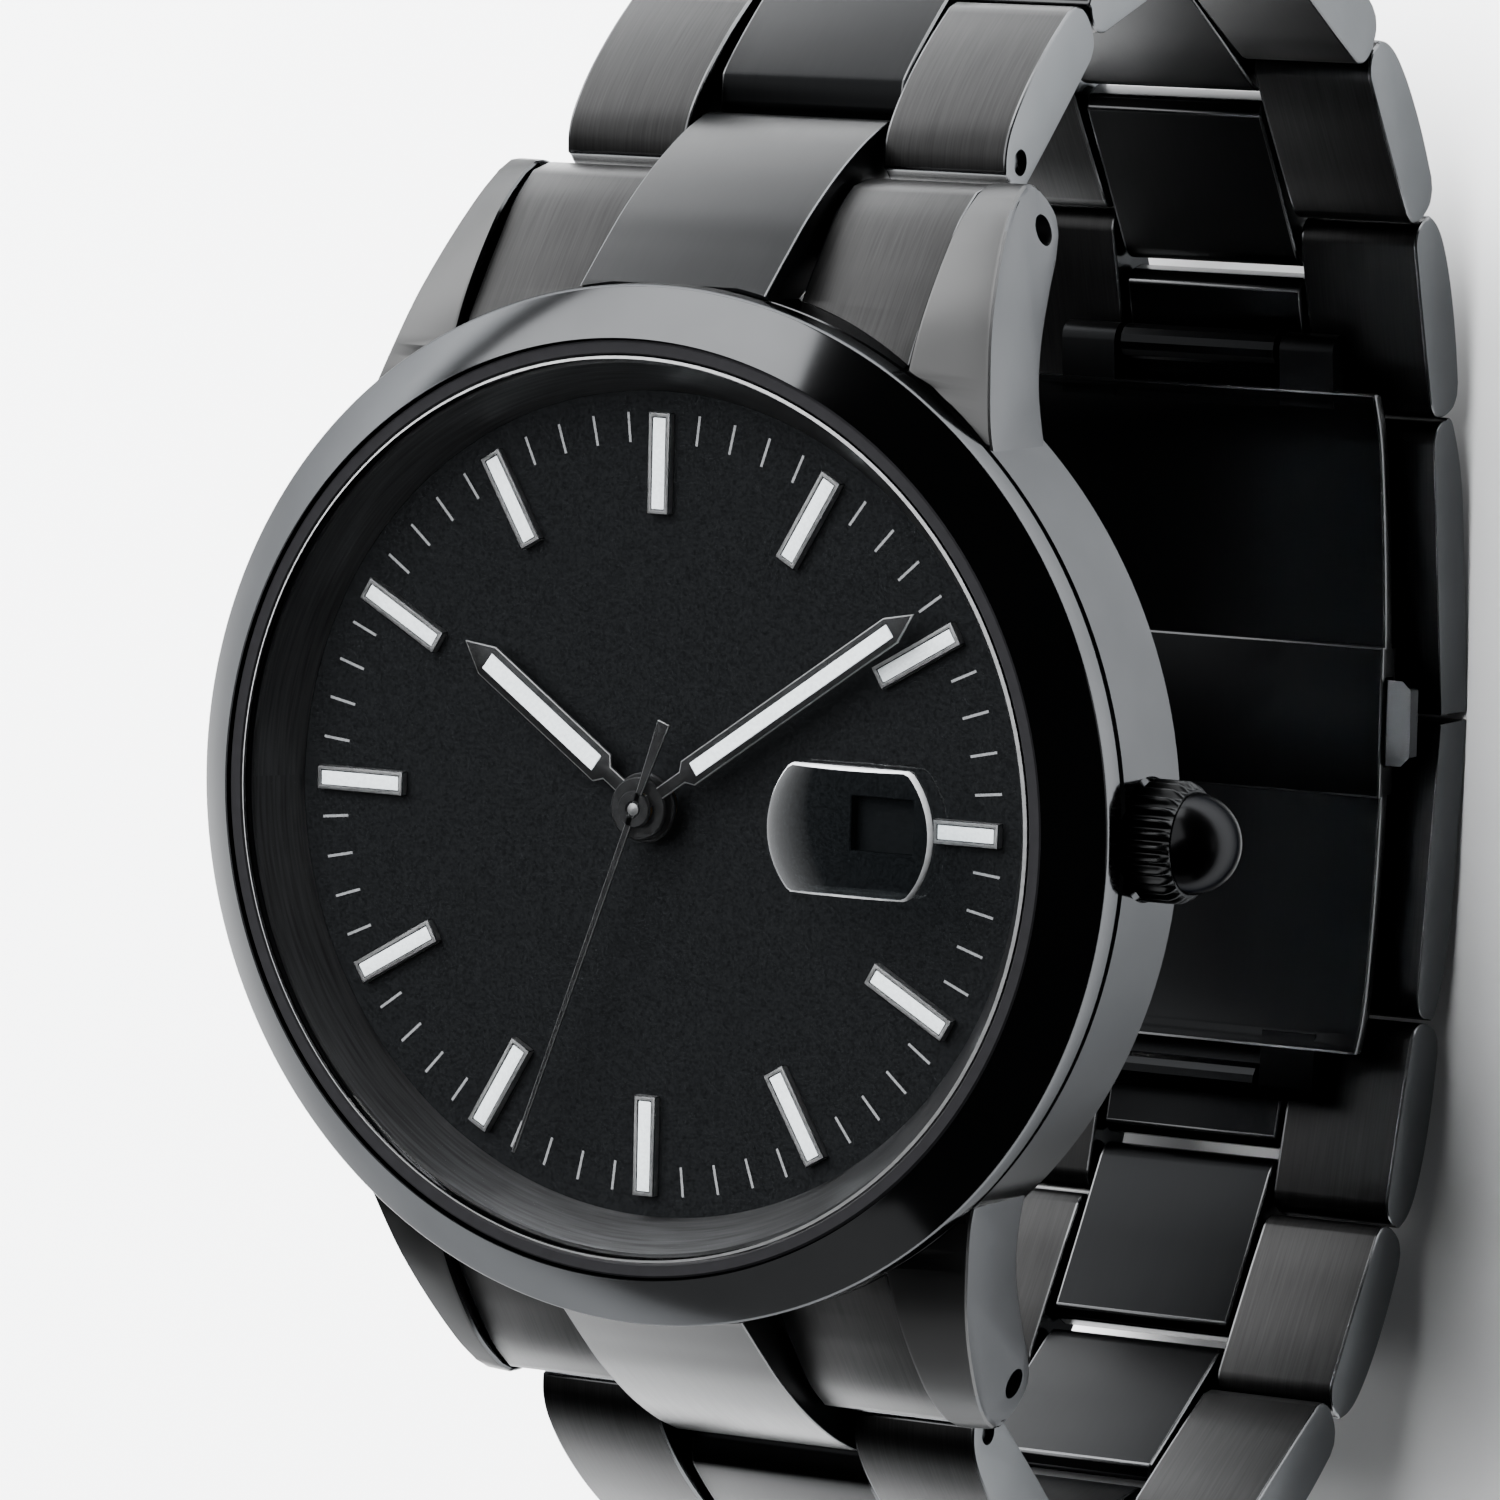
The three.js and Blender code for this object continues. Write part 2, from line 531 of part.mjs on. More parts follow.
/** The last link of each half: it meets its partner under the wrist and rides on a clasp arm. */
function claspEnd() {
  const tipPivot = [9.075, 0];
  const end = [[11.7, 1.65], [11.4, -0.88]];
  const outer = [...OUTER_NEAR, [3, 1.62], ...end, ...OUTER_UNDER_NEAR];
  const centre = [...CENTRE_NEAR, ...end, [10.6, -0.88], [10.4, 0.9], [7.6, 0.9], [7.4, -0.88],
    ...CENTRE_UNDER_NEAR];
  return join(
    outerBars(outer), slabAlongX(shapeOf(centre), -CENTRE_X, CENTRE_X),
    rodAlongX(0.55, -9, 9, 4.7, 0.3, 10), rodAlongX(PIN_R, -9, 9, 0, 0, 10),
    rodAlongX(PIN_R, -9, 9, ...tipPivot, 10));
}

// ---- clasp --------------------------------------------------------------------------

/** A plate that follows a line of [y, z] points, with the given thickness. */
function plateOutline(line, thickness) {
  const upper = line.map(([y, z]) => [y, z + thickness / 2]);
  const lower = line.map(([y, z]) => [y, z - thickness / 2]);
  return [...upper, ...lower.reverse()];
}

function knuckle(pivot, r, low, high) {
  return rodAlongX(r, low, high, ...pivot, 14);
}

/** A clasp arm: from the pivot in the clasp end, up through it, and along to the base's end. */
function claspArm() {
  const halfWidth = 3.6;
  const plate = plateOutline([[2.0, -38.85], [11.4, -37.85], [15.0, -36.4]], 0.6);
  const neck = [[1.85, -40.3], [3.35, -40.3], [3.3, -38.8], [2.0, -38.8]];
  return cut(join(
    slabAlongX(shapeOf(plate), -halfWidth, halfWidth),
    slabAlongX(shapeOf(neck), -halfWidth, halfWidth),
    knuckle(ARM_TIP_PIVOT, 0.85, -halfWidth, halfWidth),
    knuckle(BASE_PIVOT, 0.75, -halfWidth, halfWidth),
  ), knuckle(ARM_TIP_PIVOT, 0.65, -6, 6), knuckle(BASE_PIVOT, 0.5, -6, 6));
}

/** The wrist plate: a shallow curve, ears and a pin at each end, button pockets in its flanks. */
function claspBase() {
  const half = [[0, -37.55], [6, -37.25], [11.5, -36.55], [13.9, -35.7]];
  const line = [...half.slice(1).reverse().map(([y, z]) => [-y, z]), ...half];
  const plate = slabAlongX(shapeOf(plateOutline(line, 0.7)), -8.4, 8.4);
  const housing = block([-8.4, -3.2, -38.2], [8.4, 3.2, -36.9]);
  const ears = [];
  const pins = [];
  for (const end of [-1, 1]) {
    const pivot = [end * BASE_PIVOT[0], BASE_PIVOT[1]];
    for (const side of [-1, 1]) {
      const [low, high] = side < 0 ? [-6.4, -3.9] : [3.9, 6.4];
      const ear = [[end * 13.2, -36.3], [end * 13.2, -35.55], [end * 15.5, -35.35], [end * 15.5, -36.8]];
      ears.push(slabAlongX(shapeOf(ear), low, high), knuckle(pivot, 0.75, low, high));
    }
    pins.push(knuckle(pivot, 0.32, -6.2, 6.2));
  }
  const pockets = [-1, 1].map((side) => block(
    [Math.min(side * 5.6, side * 9), -1.9, -37.95], [Math.max(side * 5.6, side * 9), 1.9, -37.15]));
  return cut(join(plate, housing, ...ears, ...pins), ...pockets);
}

/** A push button: a bar in the flank of the clasp, with a rounded head outside it. */
function claspButton(side) {
  const outline = [[6.3, -1.8], [9.2, -1.8], [9.6, -1.4], [9.6, 1.4], [9.2, 1.8], [6.3, 1.8]];
  return slab(shapeOf(outline.map(([x, y]) => [side * x, y])), -37.9, -37.2);
}

place('clasp_base', claspBase(), STEEL);
place('clasp_button_left', claspButton(-1), STEEL);
place('clasp_button_right', claspButton(1), STEEL);

// ---- the two halves of the bracelet ---------------------------------------------------

const LINK_GEOMETRY = geometryOf(link());
const CLASP_END_GEOMETRY = geometryOf(claspEnd());
const END_LINK_GEOMETRY = geometryOf(endLink());
const SPRING_BAR_GEOMETRY = geometryOf(springBar());
const CLASP_ARM_GEOMETRY = geometryOf(claspArm());

function half(label, turn) {
  const side = new THREE.Group();
  side.rotation.z = turn;
  group.add(side);
  place(`end_link_${label}`, END_LINK_GEOMETRY, BLACK_BRUSHED, side);
  place(`spring_bar_${label}`, SPRING_BAR_GEOMETRY, STEEL, side);
  let [y, z] = FIRST_PIN;
  LINK_DIRECTIONS.forEach((direction, index) => {
    const mesh = place(`link_${label}_${index + 1}`, LINK_GEOMETRY, BLACK_BRUSHED, side);
    mesh.position.set(0, y, z);
    mesh.rotation.x = -radians(direction);
    y += PITCH * Math.cos(radians(direction));
    z -= PITCH * Math.sin(radians(direction));
  });
  const end = place(`clasp_end_${label}`, CLASP_END_GEOMETRY, BLACK_BRUSHED, side);
  end.position.set(0, y, z);
  end.rotation.x = -radians(CLASP_END_DIRECTION);
  place(`clasp_arm_${label}`, CLASP_ARM_GEOMETRY, STEEL, side);
}

half('12', 0);
half('6', Math.PI);

export default group;
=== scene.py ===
import json
import math

import bmesh
import bpy
from mathutils import Matrix, Vector


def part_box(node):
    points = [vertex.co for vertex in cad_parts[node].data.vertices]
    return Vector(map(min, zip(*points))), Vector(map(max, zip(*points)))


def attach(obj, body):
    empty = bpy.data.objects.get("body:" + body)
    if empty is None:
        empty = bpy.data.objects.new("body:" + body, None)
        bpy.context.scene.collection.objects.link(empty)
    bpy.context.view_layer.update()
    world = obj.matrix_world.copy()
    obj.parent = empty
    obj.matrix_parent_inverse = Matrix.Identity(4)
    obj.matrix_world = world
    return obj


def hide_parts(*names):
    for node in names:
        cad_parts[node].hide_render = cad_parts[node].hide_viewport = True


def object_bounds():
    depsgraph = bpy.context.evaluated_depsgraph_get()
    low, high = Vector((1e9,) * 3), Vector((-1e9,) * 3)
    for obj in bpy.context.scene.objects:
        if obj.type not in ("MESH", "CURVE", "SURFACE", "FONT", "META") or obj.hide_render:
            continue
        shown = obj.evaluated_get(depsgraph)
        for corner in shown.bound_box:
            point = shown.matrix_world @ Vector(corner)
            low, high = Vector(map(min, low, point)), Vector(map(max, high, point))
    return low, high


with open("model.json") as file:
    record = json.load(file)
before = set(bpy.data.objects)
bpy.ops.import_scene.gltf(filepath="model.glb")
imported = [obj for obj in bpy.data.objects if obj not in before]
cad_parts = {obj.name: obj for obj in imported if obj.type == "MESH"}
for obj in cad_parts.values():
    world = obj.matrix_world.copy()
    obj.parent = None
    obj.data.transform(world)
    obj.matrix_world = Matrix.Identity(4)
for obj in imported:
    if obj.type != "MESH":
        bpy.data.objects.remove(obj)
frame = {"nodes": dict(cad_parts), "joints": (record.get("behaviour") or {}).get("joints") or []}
cad_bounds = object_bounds()

# The looks of a steel wristwatch with an automatic movement. Lengths in this script are in
# millimetres until a mesh is made; +Z points out of the dial and +X to the crown.

MM = 0.001
NODES = frame["nodes"]
JOINTS = {joint["name"]: joint for joint in frame["joints"]}


# ---- where things are, from the frame ------------------------------------------------

def box_mm(node):
    """Lowest and highest corner of a CAD node in millimetres."""
    low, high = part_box(node)
    return Vector(low) / MM, Vector(high) / MM


def joint_mm(name):
    return Vector(JOINTS[name]["pos_m"]) / MM


BEZEL_LOW, BEZEL_HIGH = box_mm("bezel")
CRYSTAL_LOW, CRYSTAL_HIGH = box_mm("crystal")
DIAL_LOW, DIAL_HIGH = box_mm("dial")
LENS_LOW, LENS_HIGH = box_mm("date_magnifier")
CROWN_LOW, CROWN_HIGH = box_mm("crown")
REHAUT_LOW, REHAUT_HIGH = box_mm("rehaut_ring")
BACK_R = box_mm("case_back")[1].x
SPRING_BAR_LOW, SPRING_BAR_HIGH = box_mm("spring_bar_12")
FLOOR_Z = cad_bounds[0][2] / MM

BEZEL_R = BEZEL_HIGH.x
CASE_R = BEZEL_R - 0.05
CRYSTAL_R = CRYSTAL_HIGH.x
DIAL_Z = DIAL_HIGH.z
STEM_Z = joint_mm("crown_turn").z
CROWN_R = (CROWN_HIGH.y - CROWN_LOW.y) / 2
LENS_X = (LENS_LOW.x + LENS_HIGH.x) / 2
SPRING_BAR = (SPRING_BAR_LOW + SPRING_BAR_HIGH) / 2
CENTRE_HALF = 4.1                # half width of a centre link
OUTER_INNER = 4.4                # inner flank of an outer link
BAND_HALF = box_mm("link_12_3")[1].x
PITCH = (joint_mm("link_12_3_hinge") - joint_mm("link_12_2_hinge")).length


# ---- materials -----------------------------------------------------------------------

class Surface:
    """A node material with a Principled shader, and short names for its usual nodes."""

    def __init__(self, name, color, roughness, metallic=0.0, **values):
        self.material = bpy.data.materials.new(name)
        self.material.use_nodes = True
        self.nodes = self.material.node_tree.nodes
        self.links = self.material.node_tree.links
        self.shader = self.nodes["Principled BSDF"]
        self.shader.inputs["Base Color"].default_value = (*color, 1.0)
        self.shader.inputs["Roughness"].default_value = roughness
        self.shader.inputs["Metallic"].default_value = metallic
        self.color = color
        self.roughness = roughness
        for socket, value in values.items():
            self.shader.inputs[socket.replace("_", " ")].default_value = value

    def add(self, kind, **values):
        node = self.nodes.new(kind)
        for name, value in values.items():
            setattr(node, name, value)
        return node

    def coordinates(self, scale):
        """Object coordinates stretched by scale, per metre on each axis."""
        source = self.add("ShaderNodeTexCoord")
        mapping = self.add("ShaderNodeMapping")
        mapping.inputs["Scale"].default_value = scale
        self.links.new(source.outputs["Object"], mapping.inputs["Vector"])
        return mapping.outputs["Vector"]

    def around_z(self, across, along):
        """Coordinates that run along circles round the Z axis: radius, turn, height."""
        source = self.add("ShaderNodeTexCoord")
        split = self.add("ShaderNodeSeparateXYZ")
        self.links.new(source.outputs["Object"], split.inputs["Vector"])
        turn = self.add("ShaderNodeMath", operation="ARCTAN2")
        self.links.new(split.outputs["Y"], turn.inputs[0])
        self.links.new(split.outputs["X"], turn.inputs[1])
        flat = self.add("ShaderNodeCombineXYZ")
        self.links.new(split.outputs["X"], flat.inputs["X"])
        self.links.new(split.outputs["Y"], flat.inputs["Y"])
        radius = self.add("ShaderNodeVectorMath", operation="LENGTH")
        self.links.new(flat.outputs["Vector"], radius.inputs[0])
        joined = self.add("ShaderNodeCombineXYZ")
        self.links.new(radius.outputs["Value"], joined.inputs["X"])
        self.links.new(turn.outputs["Value"], joined.inputs["Y"])
        self.links.new(split.outputs["Z"], joined.inputs["Z"])
        mapping = self.add("ShaderNodeMapping")
        mapping.inputs["Scale"].default_value = (across, along, across)
        self.links.new(joined.outputs["Vector"], mapping.inputs["Vector"])
        return mapping.outputs["Vector"]

    def noise(self, vector, scale=1.0, detail=3.0):
        noise = self.add("ShaderNodeTexNoise")
        noise.inputs["Scale"].default_value = scale
        noise.inputs["Detail"].default_value = detail
        self.links.new(vector, noise.inputs["Vector"])
        return noise.outputs["Fac"]

    def vary_roughness(self, pattern, low, high):
        spread = self.add("ShaderNodeMapRange")
        spread.inputs["To Min"].default_value = low
        spread.inputs["To Max"].default_value = high
        self.links.new(pattern, spread.inputs["Value"])
        self.links.new(spread.outputs["Result"], self.shader.inputs["Roughness"])

    def vary_color(self, pattern, darker, lighter):
        ramp = self.add("ShaderNodeValToRGB")
        for stop, factor in zip(ramp.color_ramp.elements, (darker, lighter)):
            stop.color = (*[min(1.0, c * factor) for c in self.color], 1.0)
        ramp.color_ramp.elements[0].position = 0.3
        ramp.color_ramp.elements[1].position = 0.7
        self.links.new(pattern, ramp.inputs["Fac"])
        self.links.new(ramp.outputs["Color"], self.shader.inputs["Base Color"])

    def bump(self, pattern, strength, depth_mm):
        bump = self.add("ShaderNodeBump")
        bump.inputs["Strength"].default_value = strength
        bump.inputs["Distance"].default_value = depth_mm * MM
        self.links.new(pattern, bump.inputs["Height"])
        self.links.new(bump.outputs["Normal"], self.shader.inputs["Normal"])


GRAZING_TINT = (0.43, 0.43, 0.43, 1.0)   # keeps the dark coating dark at a low angle
CLOUDS = (220, 220, 220)         # noise scales per metre: soft clouds in a mirror finish,
WIPED = (90, 90, 90)             # and the marks that wiping leaves on glass
RING_GROOVES = (9000, 5)         # across and along the grooves of a circular brushing
GRAIN_DEPTH = 0.01               # millimetres
GROOVE_DEPTH = 0.012


def polished(name, color, roughness=0.07):
    """Polished metal: faint cloudiness and hairlines, as a mirror finish has."""
    surface = Surface(name, color, roughness, 1.0, Specular_Tint=GRAZING_TINT)
    clouds = surface.noise(surface.coordinates(CLOUDS), detail=4)
    surface.vary_roughness(clouds, roughness * 0.7, roughness * 1.5)
    surface.vary_color(clouds, 0.93, 1.07)
    return surface.material


def brushed(name, color, roughness, along=(14000, 350, 350), strength=0.22,
            contrast=0.2):
    """Metal brushed along its own Y axis: long fine grooves of uneven depth."""
    surface = Surface(name, color, roughness, 1.0)
    grooves = surface.noise(surface.coordinates(along), detail=5)
    surface.vary_roughness(grooves, roughness * 0.85, roughness * 1.2)
    surface.vary_color(grooves, 1 - contrast, 1 + contrast)
    surface.bump(grooves, strength, GROOVE_DEPTH)
    return surface.material


def circular(name, color, roughness, strength=0.3):
    """Metal brushed in circles round the watch's axis."""
    surface = Surface(name, color, roughness, 1.0)
    grooves = surface.noise(surface.around_z(*RING_GROOVES), detail=4)
    surface.vary_roughness(grooves, roughness * 0.8, roughness * 1.3)
    surface.vary_color(grooves, 0.7, 1.3)
    surface.bump(grooves, strength, GRAIN_DEPTH)
    return surface.material


def grained(name, color, roughness, scale, strength, metallic=0.0, spread=(0.85, 1.15),
            **values):
    """A surface with an even fine grain: paint, plastic, rubber or luminous paste."""
    surface = Surface(name, color, roughness, metallic, **values)
    grain = surface.noise(surface.coordinates((scale, scale, scale)), detail=4)
    surface.vary_color(grain, *spread)
    surface.vary_roughness(grain, roughness * 0.9, min(1.0, roughness * 1.15))
    surface.bump(grain, strength, GRAIN_DEPTH)
    return surface.material


def glass(name, color, ior):
    """Clear glass that lets the lamps' light through, with a trace of wiping marks."""
    surface = Surface(name, color, 0.0, Transmission_Weight=1.0, IOR=ior)
    marks = surface.noise(surface.coordinates(WIPED), detail=2)
    surface.vary_roughness(marks, 0.0, 0.012)
    path = surface.add("ShaderNodeLightPath")
    clear = surface.add("ShaderNodeBsdfTransparent")
    mix = surface.add("ShaderNodeMixShader")
    surface.links.new(path.outputs["Is Shadow Ray"], mix.inputs["Fac"])
    surface.links.new(surface.shader.outputs["BSDF"], mix.inputs[1])
    surface.links.new(clear.outputs["BSDF"], mix.inputs[2])
    surface.links.new(mix.outputs["Shader"], surface.nodes["Material Output"].inputs["Surface"])
    return surface.material


def lens_glass(name, reflection_grey, clear_tint, clear_until, most_reflection):
    """Clear where it is seen square on; where it slants away a matt grey, a painted reflection, takes
    over up to a share.
    """
    surface = Surface(name, reflection_grey, 0.3, Specular_IOR_Level=0.0)
    marks = surface.noise(surface.coordinates(WIPED), detail=2)
    surface.vary_roughness(marks, 0.24, 0.36)
    clear = surface.add("ShaderNodeBsdfTransparent")
    clear.inputs["Color"].default_value = (*clear_tint, 1.0)
    slant = surface.add("ShaderNodeLayerWeight")
    slant.inputs["Blend"].default_value = 0.5
    edges = surface.add("ShaderNodeMapRange")
    edges.inputs["From Min"].default_value = clear_until
    edges.inputs["To Max"].default_value = most_reflection
    surface.links.new(slant.outputs["Facing"], edges.inputs["Value"])
    mix = surface.add("ShaderNodeMixShader")
    surface.links.new(edges.outputs["Result"], mix.inputs["Fac"])
    surface.links.new(clear.outputs["BSDF"], mix.inputs[1])
    surface.links.new(surface.shader.outputs["BSDF"], mix.inputs[2])
    surface.links.new(mix.outputs["Shader"], surface.nodes["Material Output"].inputs["Surface"])
    return surface.material


PVD_POLISHED = polished("pvd_polished", (0.052, 0.0535, 0.0555), 0.1)
PVD_LUG = polished("pvd_lug", (0.062, 0.0625, 0.063), 0.3)
# painted shade: the crown's fluted barrel gets a darker copy of the polished coating, for the shade
# between its flutes
PVD_KNURL = polished("pvd_knurl", (0.02, 0.0205, 0.021), 0.25)
PVD_DOME = polished("pvd_dome", (0.011, 0.0112, 0.0117), 0.2)
PVD_FLANK = polished("pvd_flank", (0.075, 0.078, 0.081), 0.16)
# painted highlight: a lighter copy of the polished coating for rounded edges, to draw thin light
# lines along them
PVD_EDGE = polished("pvd_edge", (0.09, 0.092, 0.095), 0.2)
PVD_BRUSHED = brushed("pvd_brushed", (0.022, 0.0221, 0.0223), 0.38)
PVD_SATIN = brushed("pvd_satin", (0.0066, 0.0069, 0.0073), 0.3, (9000, 500, 500), strength=0.04,
                    contrast=0.06)
PVD_CIRCULAR = circular("pvd_circular", (0.075, 0.0765, 0.079), 0.42, 0.2)
BACK_CIRCULAR = circular("back_circular", (0.12, 0.122, 0.126), 0.3)
DIAL_PAINT = grained("dial_paint", (0.0024, 0.0026, 0.0028), 0.8, 9000, 0.3,
                     spread=(0.6, 1.6), Specular_IOR_Level=0.0)
PRINT = grained("dial_print", (0.075, 0.077, 0.08), 0.6, 6000, 0.1)
MARKER_METAL = grained("marker_metal", (0.4, 0.405, 0.41), 0.45, 4000, 0.1, 1.0)
LUME = grained("lume", (0.35, 0.375, 0.387), 0.75, 7000, 0.3, spread=(0.88, 1.1))
HAND_METAL = grained("hand_metal", (0.05, 0.051, 0.053), 0.45, 2500, 0.05, 1.0)
HAND_EDGE = polished("hand_edge", (0.45, 0.455, 0.46), 0.4)
RUBBER = grained("rubber", (0.004, 0.004, 0.0045), 0.7, 2500, 0.3, Specular_IOR_Level=0.2)
# painted highlight: a matt light grey on the crystal's top chamfer stands for the bright line that
# light makes along the glass edge
CRYSTAL_RIM = grained("crystal_rim", (0.13, 0.132, 0.135), 0.4, 3000, 0.05)
CRYSTAL_GLASS = glass("crystal_glass", (0.99, 0.995, 1.0), 1.45)
# painted reflection: the matt grey that takes over where the lens slants away stands for the studio's
# glare on its curved sides
LENS_GLASS = lens_glass("lens_glass", reflection_grey=(0.26, 0.265, 0.271), clear_tint=(0.86, 0.88, 0.89),
                        clear_until=0.17, most_reflection=0.5)
# painted highlight: a matt light grey on the lens's wall and chamfer stands for the bright line that
# light makes along the glass edge
LENS_RIM = grained("lens_rim", (0.4, 0.41, 0.42), 0.5, 3000, 0.05)
STEEL = brushed("plain_steel", (0.42, 0.43, 0.44), 0.28, (4000, 400, 400), 0.1)
BRASS = brushed("gilt_brass", (0.72, 0.52, 0.24), 0.3, (3000, 600, 600), 0.1)
RHODIUM = grained("rhodium_plate", (0.5, 0.5, 0.5), 0.3, 1800, 0.25, 1.0)
DATE_BLACK = grained("date_black", (0.003, 0.0032, 0.0034), 0.8, 5000, 0.15,
                     Specular_IOR_Level=0.0)


def striped():
    """Rhodium plate with broad parallel waves, as on a finished bridge or rotor."""
    surface = Surface("striped_plate", (0.5, 0.5, 0.51), 0.26, 1.0)
    wave = surface.add("ShaderNodeTexWave", wave_type="BANDS", bands_direction="X",
                       wave_profile="SAW")
    wave.inputs["Scale"].default_value = 190
    wave.inputs["Distortion"].default_value = 0.0
    surface.links.new(surface.coordinates((1, 1, 1)), wave.inputs["Vector"])
    surface.vary_roughness(wave.outputs["Fac"], 0.18, 0.42)
    surface.vary_color(wave.outputs["Fac"], 0.8, 1.1)
    fine = surface.noise(surface.coordinates((300, 6000, 300)), detail=3)
    surface.bump(fine, 0.25, 0.01)
    return surface.material


STRIPES = striped()


# ---- meshes --------------------------------------------------------------------------

def arc(centre, r, start, end, steps):
    """Points on an arc, angles in degrees."""
    points = []
    for i in range(steps + 1):
        angle = math.radians(start + (end - start) * i / steps)
        points.append((centre[0] + r * math.cos(angle), centre[1] + r * math.sin(angle)))
    return points


def smooth_line(points, steps=6):
    """A Catmull-Rom curve through the points."""
    ends = [points[0], *points, points[-1]]
    line = []
    for i in range(1, len(ends) - 2):
        p0, p1, p2, p3 = (Vector(ends[k]) for k in range(i - 1, i + 3))
        for s in range(steps):
            t = s / steps
            bent = 2 * p1 + (p2 - p0) * t + (2 * p0 - 5 * p1 + 4 * p2 - p3) * t ** 2 \
                + (3 * p1 - p0 - 3 * p2 + p3) * t ** 3
            line.append(tuple(bent / 2))
    return [*line, tuple(points[-1])]


ON_AXIS = 1e-6                   # a radius below this is a point on the axis
WELD = 1e-4                      # points of a cut closer than this become one


def turned(profile, segments=192):
    """A closed profile of (radius, z) turned about Z."""
    bm = bmesh.new()
    rings = []
    for r, z in profile:
        if r < ON_AXIS:
            rings.append([bm.verts.new((0, 0, z))])
            continue
        rings.append([bm.verts.new((r * math.cos(a), r * math.sin(a), z))
                      for a in (math.tau * i / segments for i in range(segments))])
    for low, high in zip(rings, rings[1:] + rings[:1]):
        for i in range(segments):
            k = (i + 1) % segments
            loop = [low[i % len(low)], low[k % len(low)], high[k % len(high)], high[i % len(high)]]
            corners = list(dict.fromkeys(loop))
            if len(corners) > 2:
                bm.faces.new(corners)
    bmesh.ops.recalc_face_normals(bm, faces=bm.faces)
    return bm


def prism(outline, low, high, axis="X"):
    """An outline pushed from low to high: (y, z) points along X, or (x, y) points along Z."""
    bm = bmesh.new()
    bottom, top = [], []
    for level, ring in ((low, bottom), (high, top)):
        for a, b in outline:
            ring.append(bm.verts.new((level, a, b) if axis == "X" else (a, b, level)))
    bm.faces.new(bottom)
    bm.faces.new(top)
    for i in range(len(outline)):
        k = (i + 1) % len(outline)
        bm.faces.new((bottom[i], bottom[k], top[k], top[i]))
    bmesh.ops.recalc_face_normals(bm, faces=bm.faces)
    return bm


def soften(bm, width, angle=35, segments=2, material=0):
    """Rounds every edge sharper than angle; the rounding takes the given material slot."""
    sharp = [e for e in bm.edges
             if len(e.link_faces) == 2 and e.calc_face_angle(0) > math.radians(angle)]
    bmesh.ops.bevel(bm, geom=sharp, offset=width, segments=segments, profile=0.6,
                    affect="EDGES", clamp_overlap=True, material=material)
    return bm


def moved(bm, matrix):
    bmesh.ops.transform(bm, matrix=matrix, verts=bm.verts)
    return bm


def along_x(bm, z=0.0):
    """Turns a body made round Z so that it lies round the X axis at height z."""
    return moved(bm, Matrix.Translation((0, 0, z)) @ Matrix.Rotation(math.pi / 2, 4, "Y"))


def merged(*bodies):
    """Several bmesh bodies as one mesh of separate shells."""
    whole = bmesh.new()
    for body in bodies:
        mesh = bpy.data.meshes.new("part")
        body.to_mesh(mesh)
        whole.from_mesh(mesh)
        bpy.data.meshes.remove(mesh)
    return whole


def combined(body, tools, operation):
    """Joins, cuts or crosses body with each tool, and gives the new bmesh."""
    objects = []
    for part in (body, *tools):
        mesh = bpy.data.meshes.new("part")
        part.to_mesh(mesh)
        part.free()
        holder = bpy.data.objects.new("part", mesh)
        bpy.context.scene.collection.objects.link(holder)
        objects.append(holder)
    for tool in objects[1:]:
        modifier = objects[0].modifiers.new("cut", "BOOLEAN")
        modifier.operation = operation
        modifier.solver = "EXACT"
        modifier.object = tool
    bpy.context.view_layer.update()
    evaluated = objects[0].evaluated_get(bpy.context.evaluated_depsgraph_get())
    result = bmesh.new()
    result.from_mesh(evaluated.to_mesh())
    evaluated.to_mesh_clear()
    for holder in objects:
        mesh = holder.data
        bpy.data.objects.remove(holder)
        bpy.data.meshes.remove(mesh)
    bmesh.ops.remove_doubles(result, verts=result.verts, dist=WELD)
    bmesh.ops.dissolve_degenerate(result, dist=WELD, edges=result.edges)
    return result


def cut(body, *tools):
    return combined(body, tools, "DIFFERENCE")


def joined(body, *tools):
    return combined(body, tools, "UNION")


def rod(r, low, high, y=0.0, z=0.0, segments=32):
    """A round rod along X."""
    outline = arc((y, z), r, 0, 360 * (segments - 1) / segments, segments - 1)
    return prism(outline, low, high)


def brick(low, high):
    outline = [(low[0], low[1]), (high[0], low[1]), (high[0], high[1]), (low[0], high[1])]
    return prism(outline, low[2], high[2], "Z")


def piece(name, bm, body, *materials, place=None, stands_for=(), smooth=32):
    """Makes the bmesh, in millimetres, a Blender object that moves with a CAD body."""
    moved(bm, Matrix.Scale(MM, 4))
    mesh = bpy.data.meshes.new(name)
    bm.to_mesh(mesh)
    bm.free()
    for material in materials:
        mesh.materials.append(material)
    mesh.shade_smooth()
    mesh.set_sharp_from_angle(angle=math.radians(smooth))
    made = bpy.data.objects.new(name, mesh)
    bpy.context.scene.collection.objects.link(made)
    if place is not None:
        made.matrix_world = place
        bpy.context.view_layer.update()
    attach(made, body)
    if stands_for:
        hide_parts(*stands_for)
    return made


def dress(node, material, edge=0.0):
    """Gives a CAD node that is shown as it is a material, and rounds its edges a little."""
    shown = NODES[node]
    shown.data.materials.clear()
    shown.data.materials.append(material)
    if edge:
        bevel = shown.modifiers.new("edges", "BEVEL")
        bevel.width = edge * MM
        bevel.segments = 2
        bevel.limit_method = "ANGLE"
        bevel.angle_limit = math.radians(40)


# ---- camera, lamps and floor ----------------------------------------------------------

CAMERA_PLACE = Vector((185.03, 42.83, 325.84))
CAMERA_RIGHT = Vector((0.867, 0.0224, -0.4978))
CAMERA_BACK = Vector((0.4928, 0.11, 0.8632))
FOCAL_LENGTH = 231.6
FLOOR_HALF = 1500
FLOOR_GAP = 0.02                 # air between the clasp and the floor


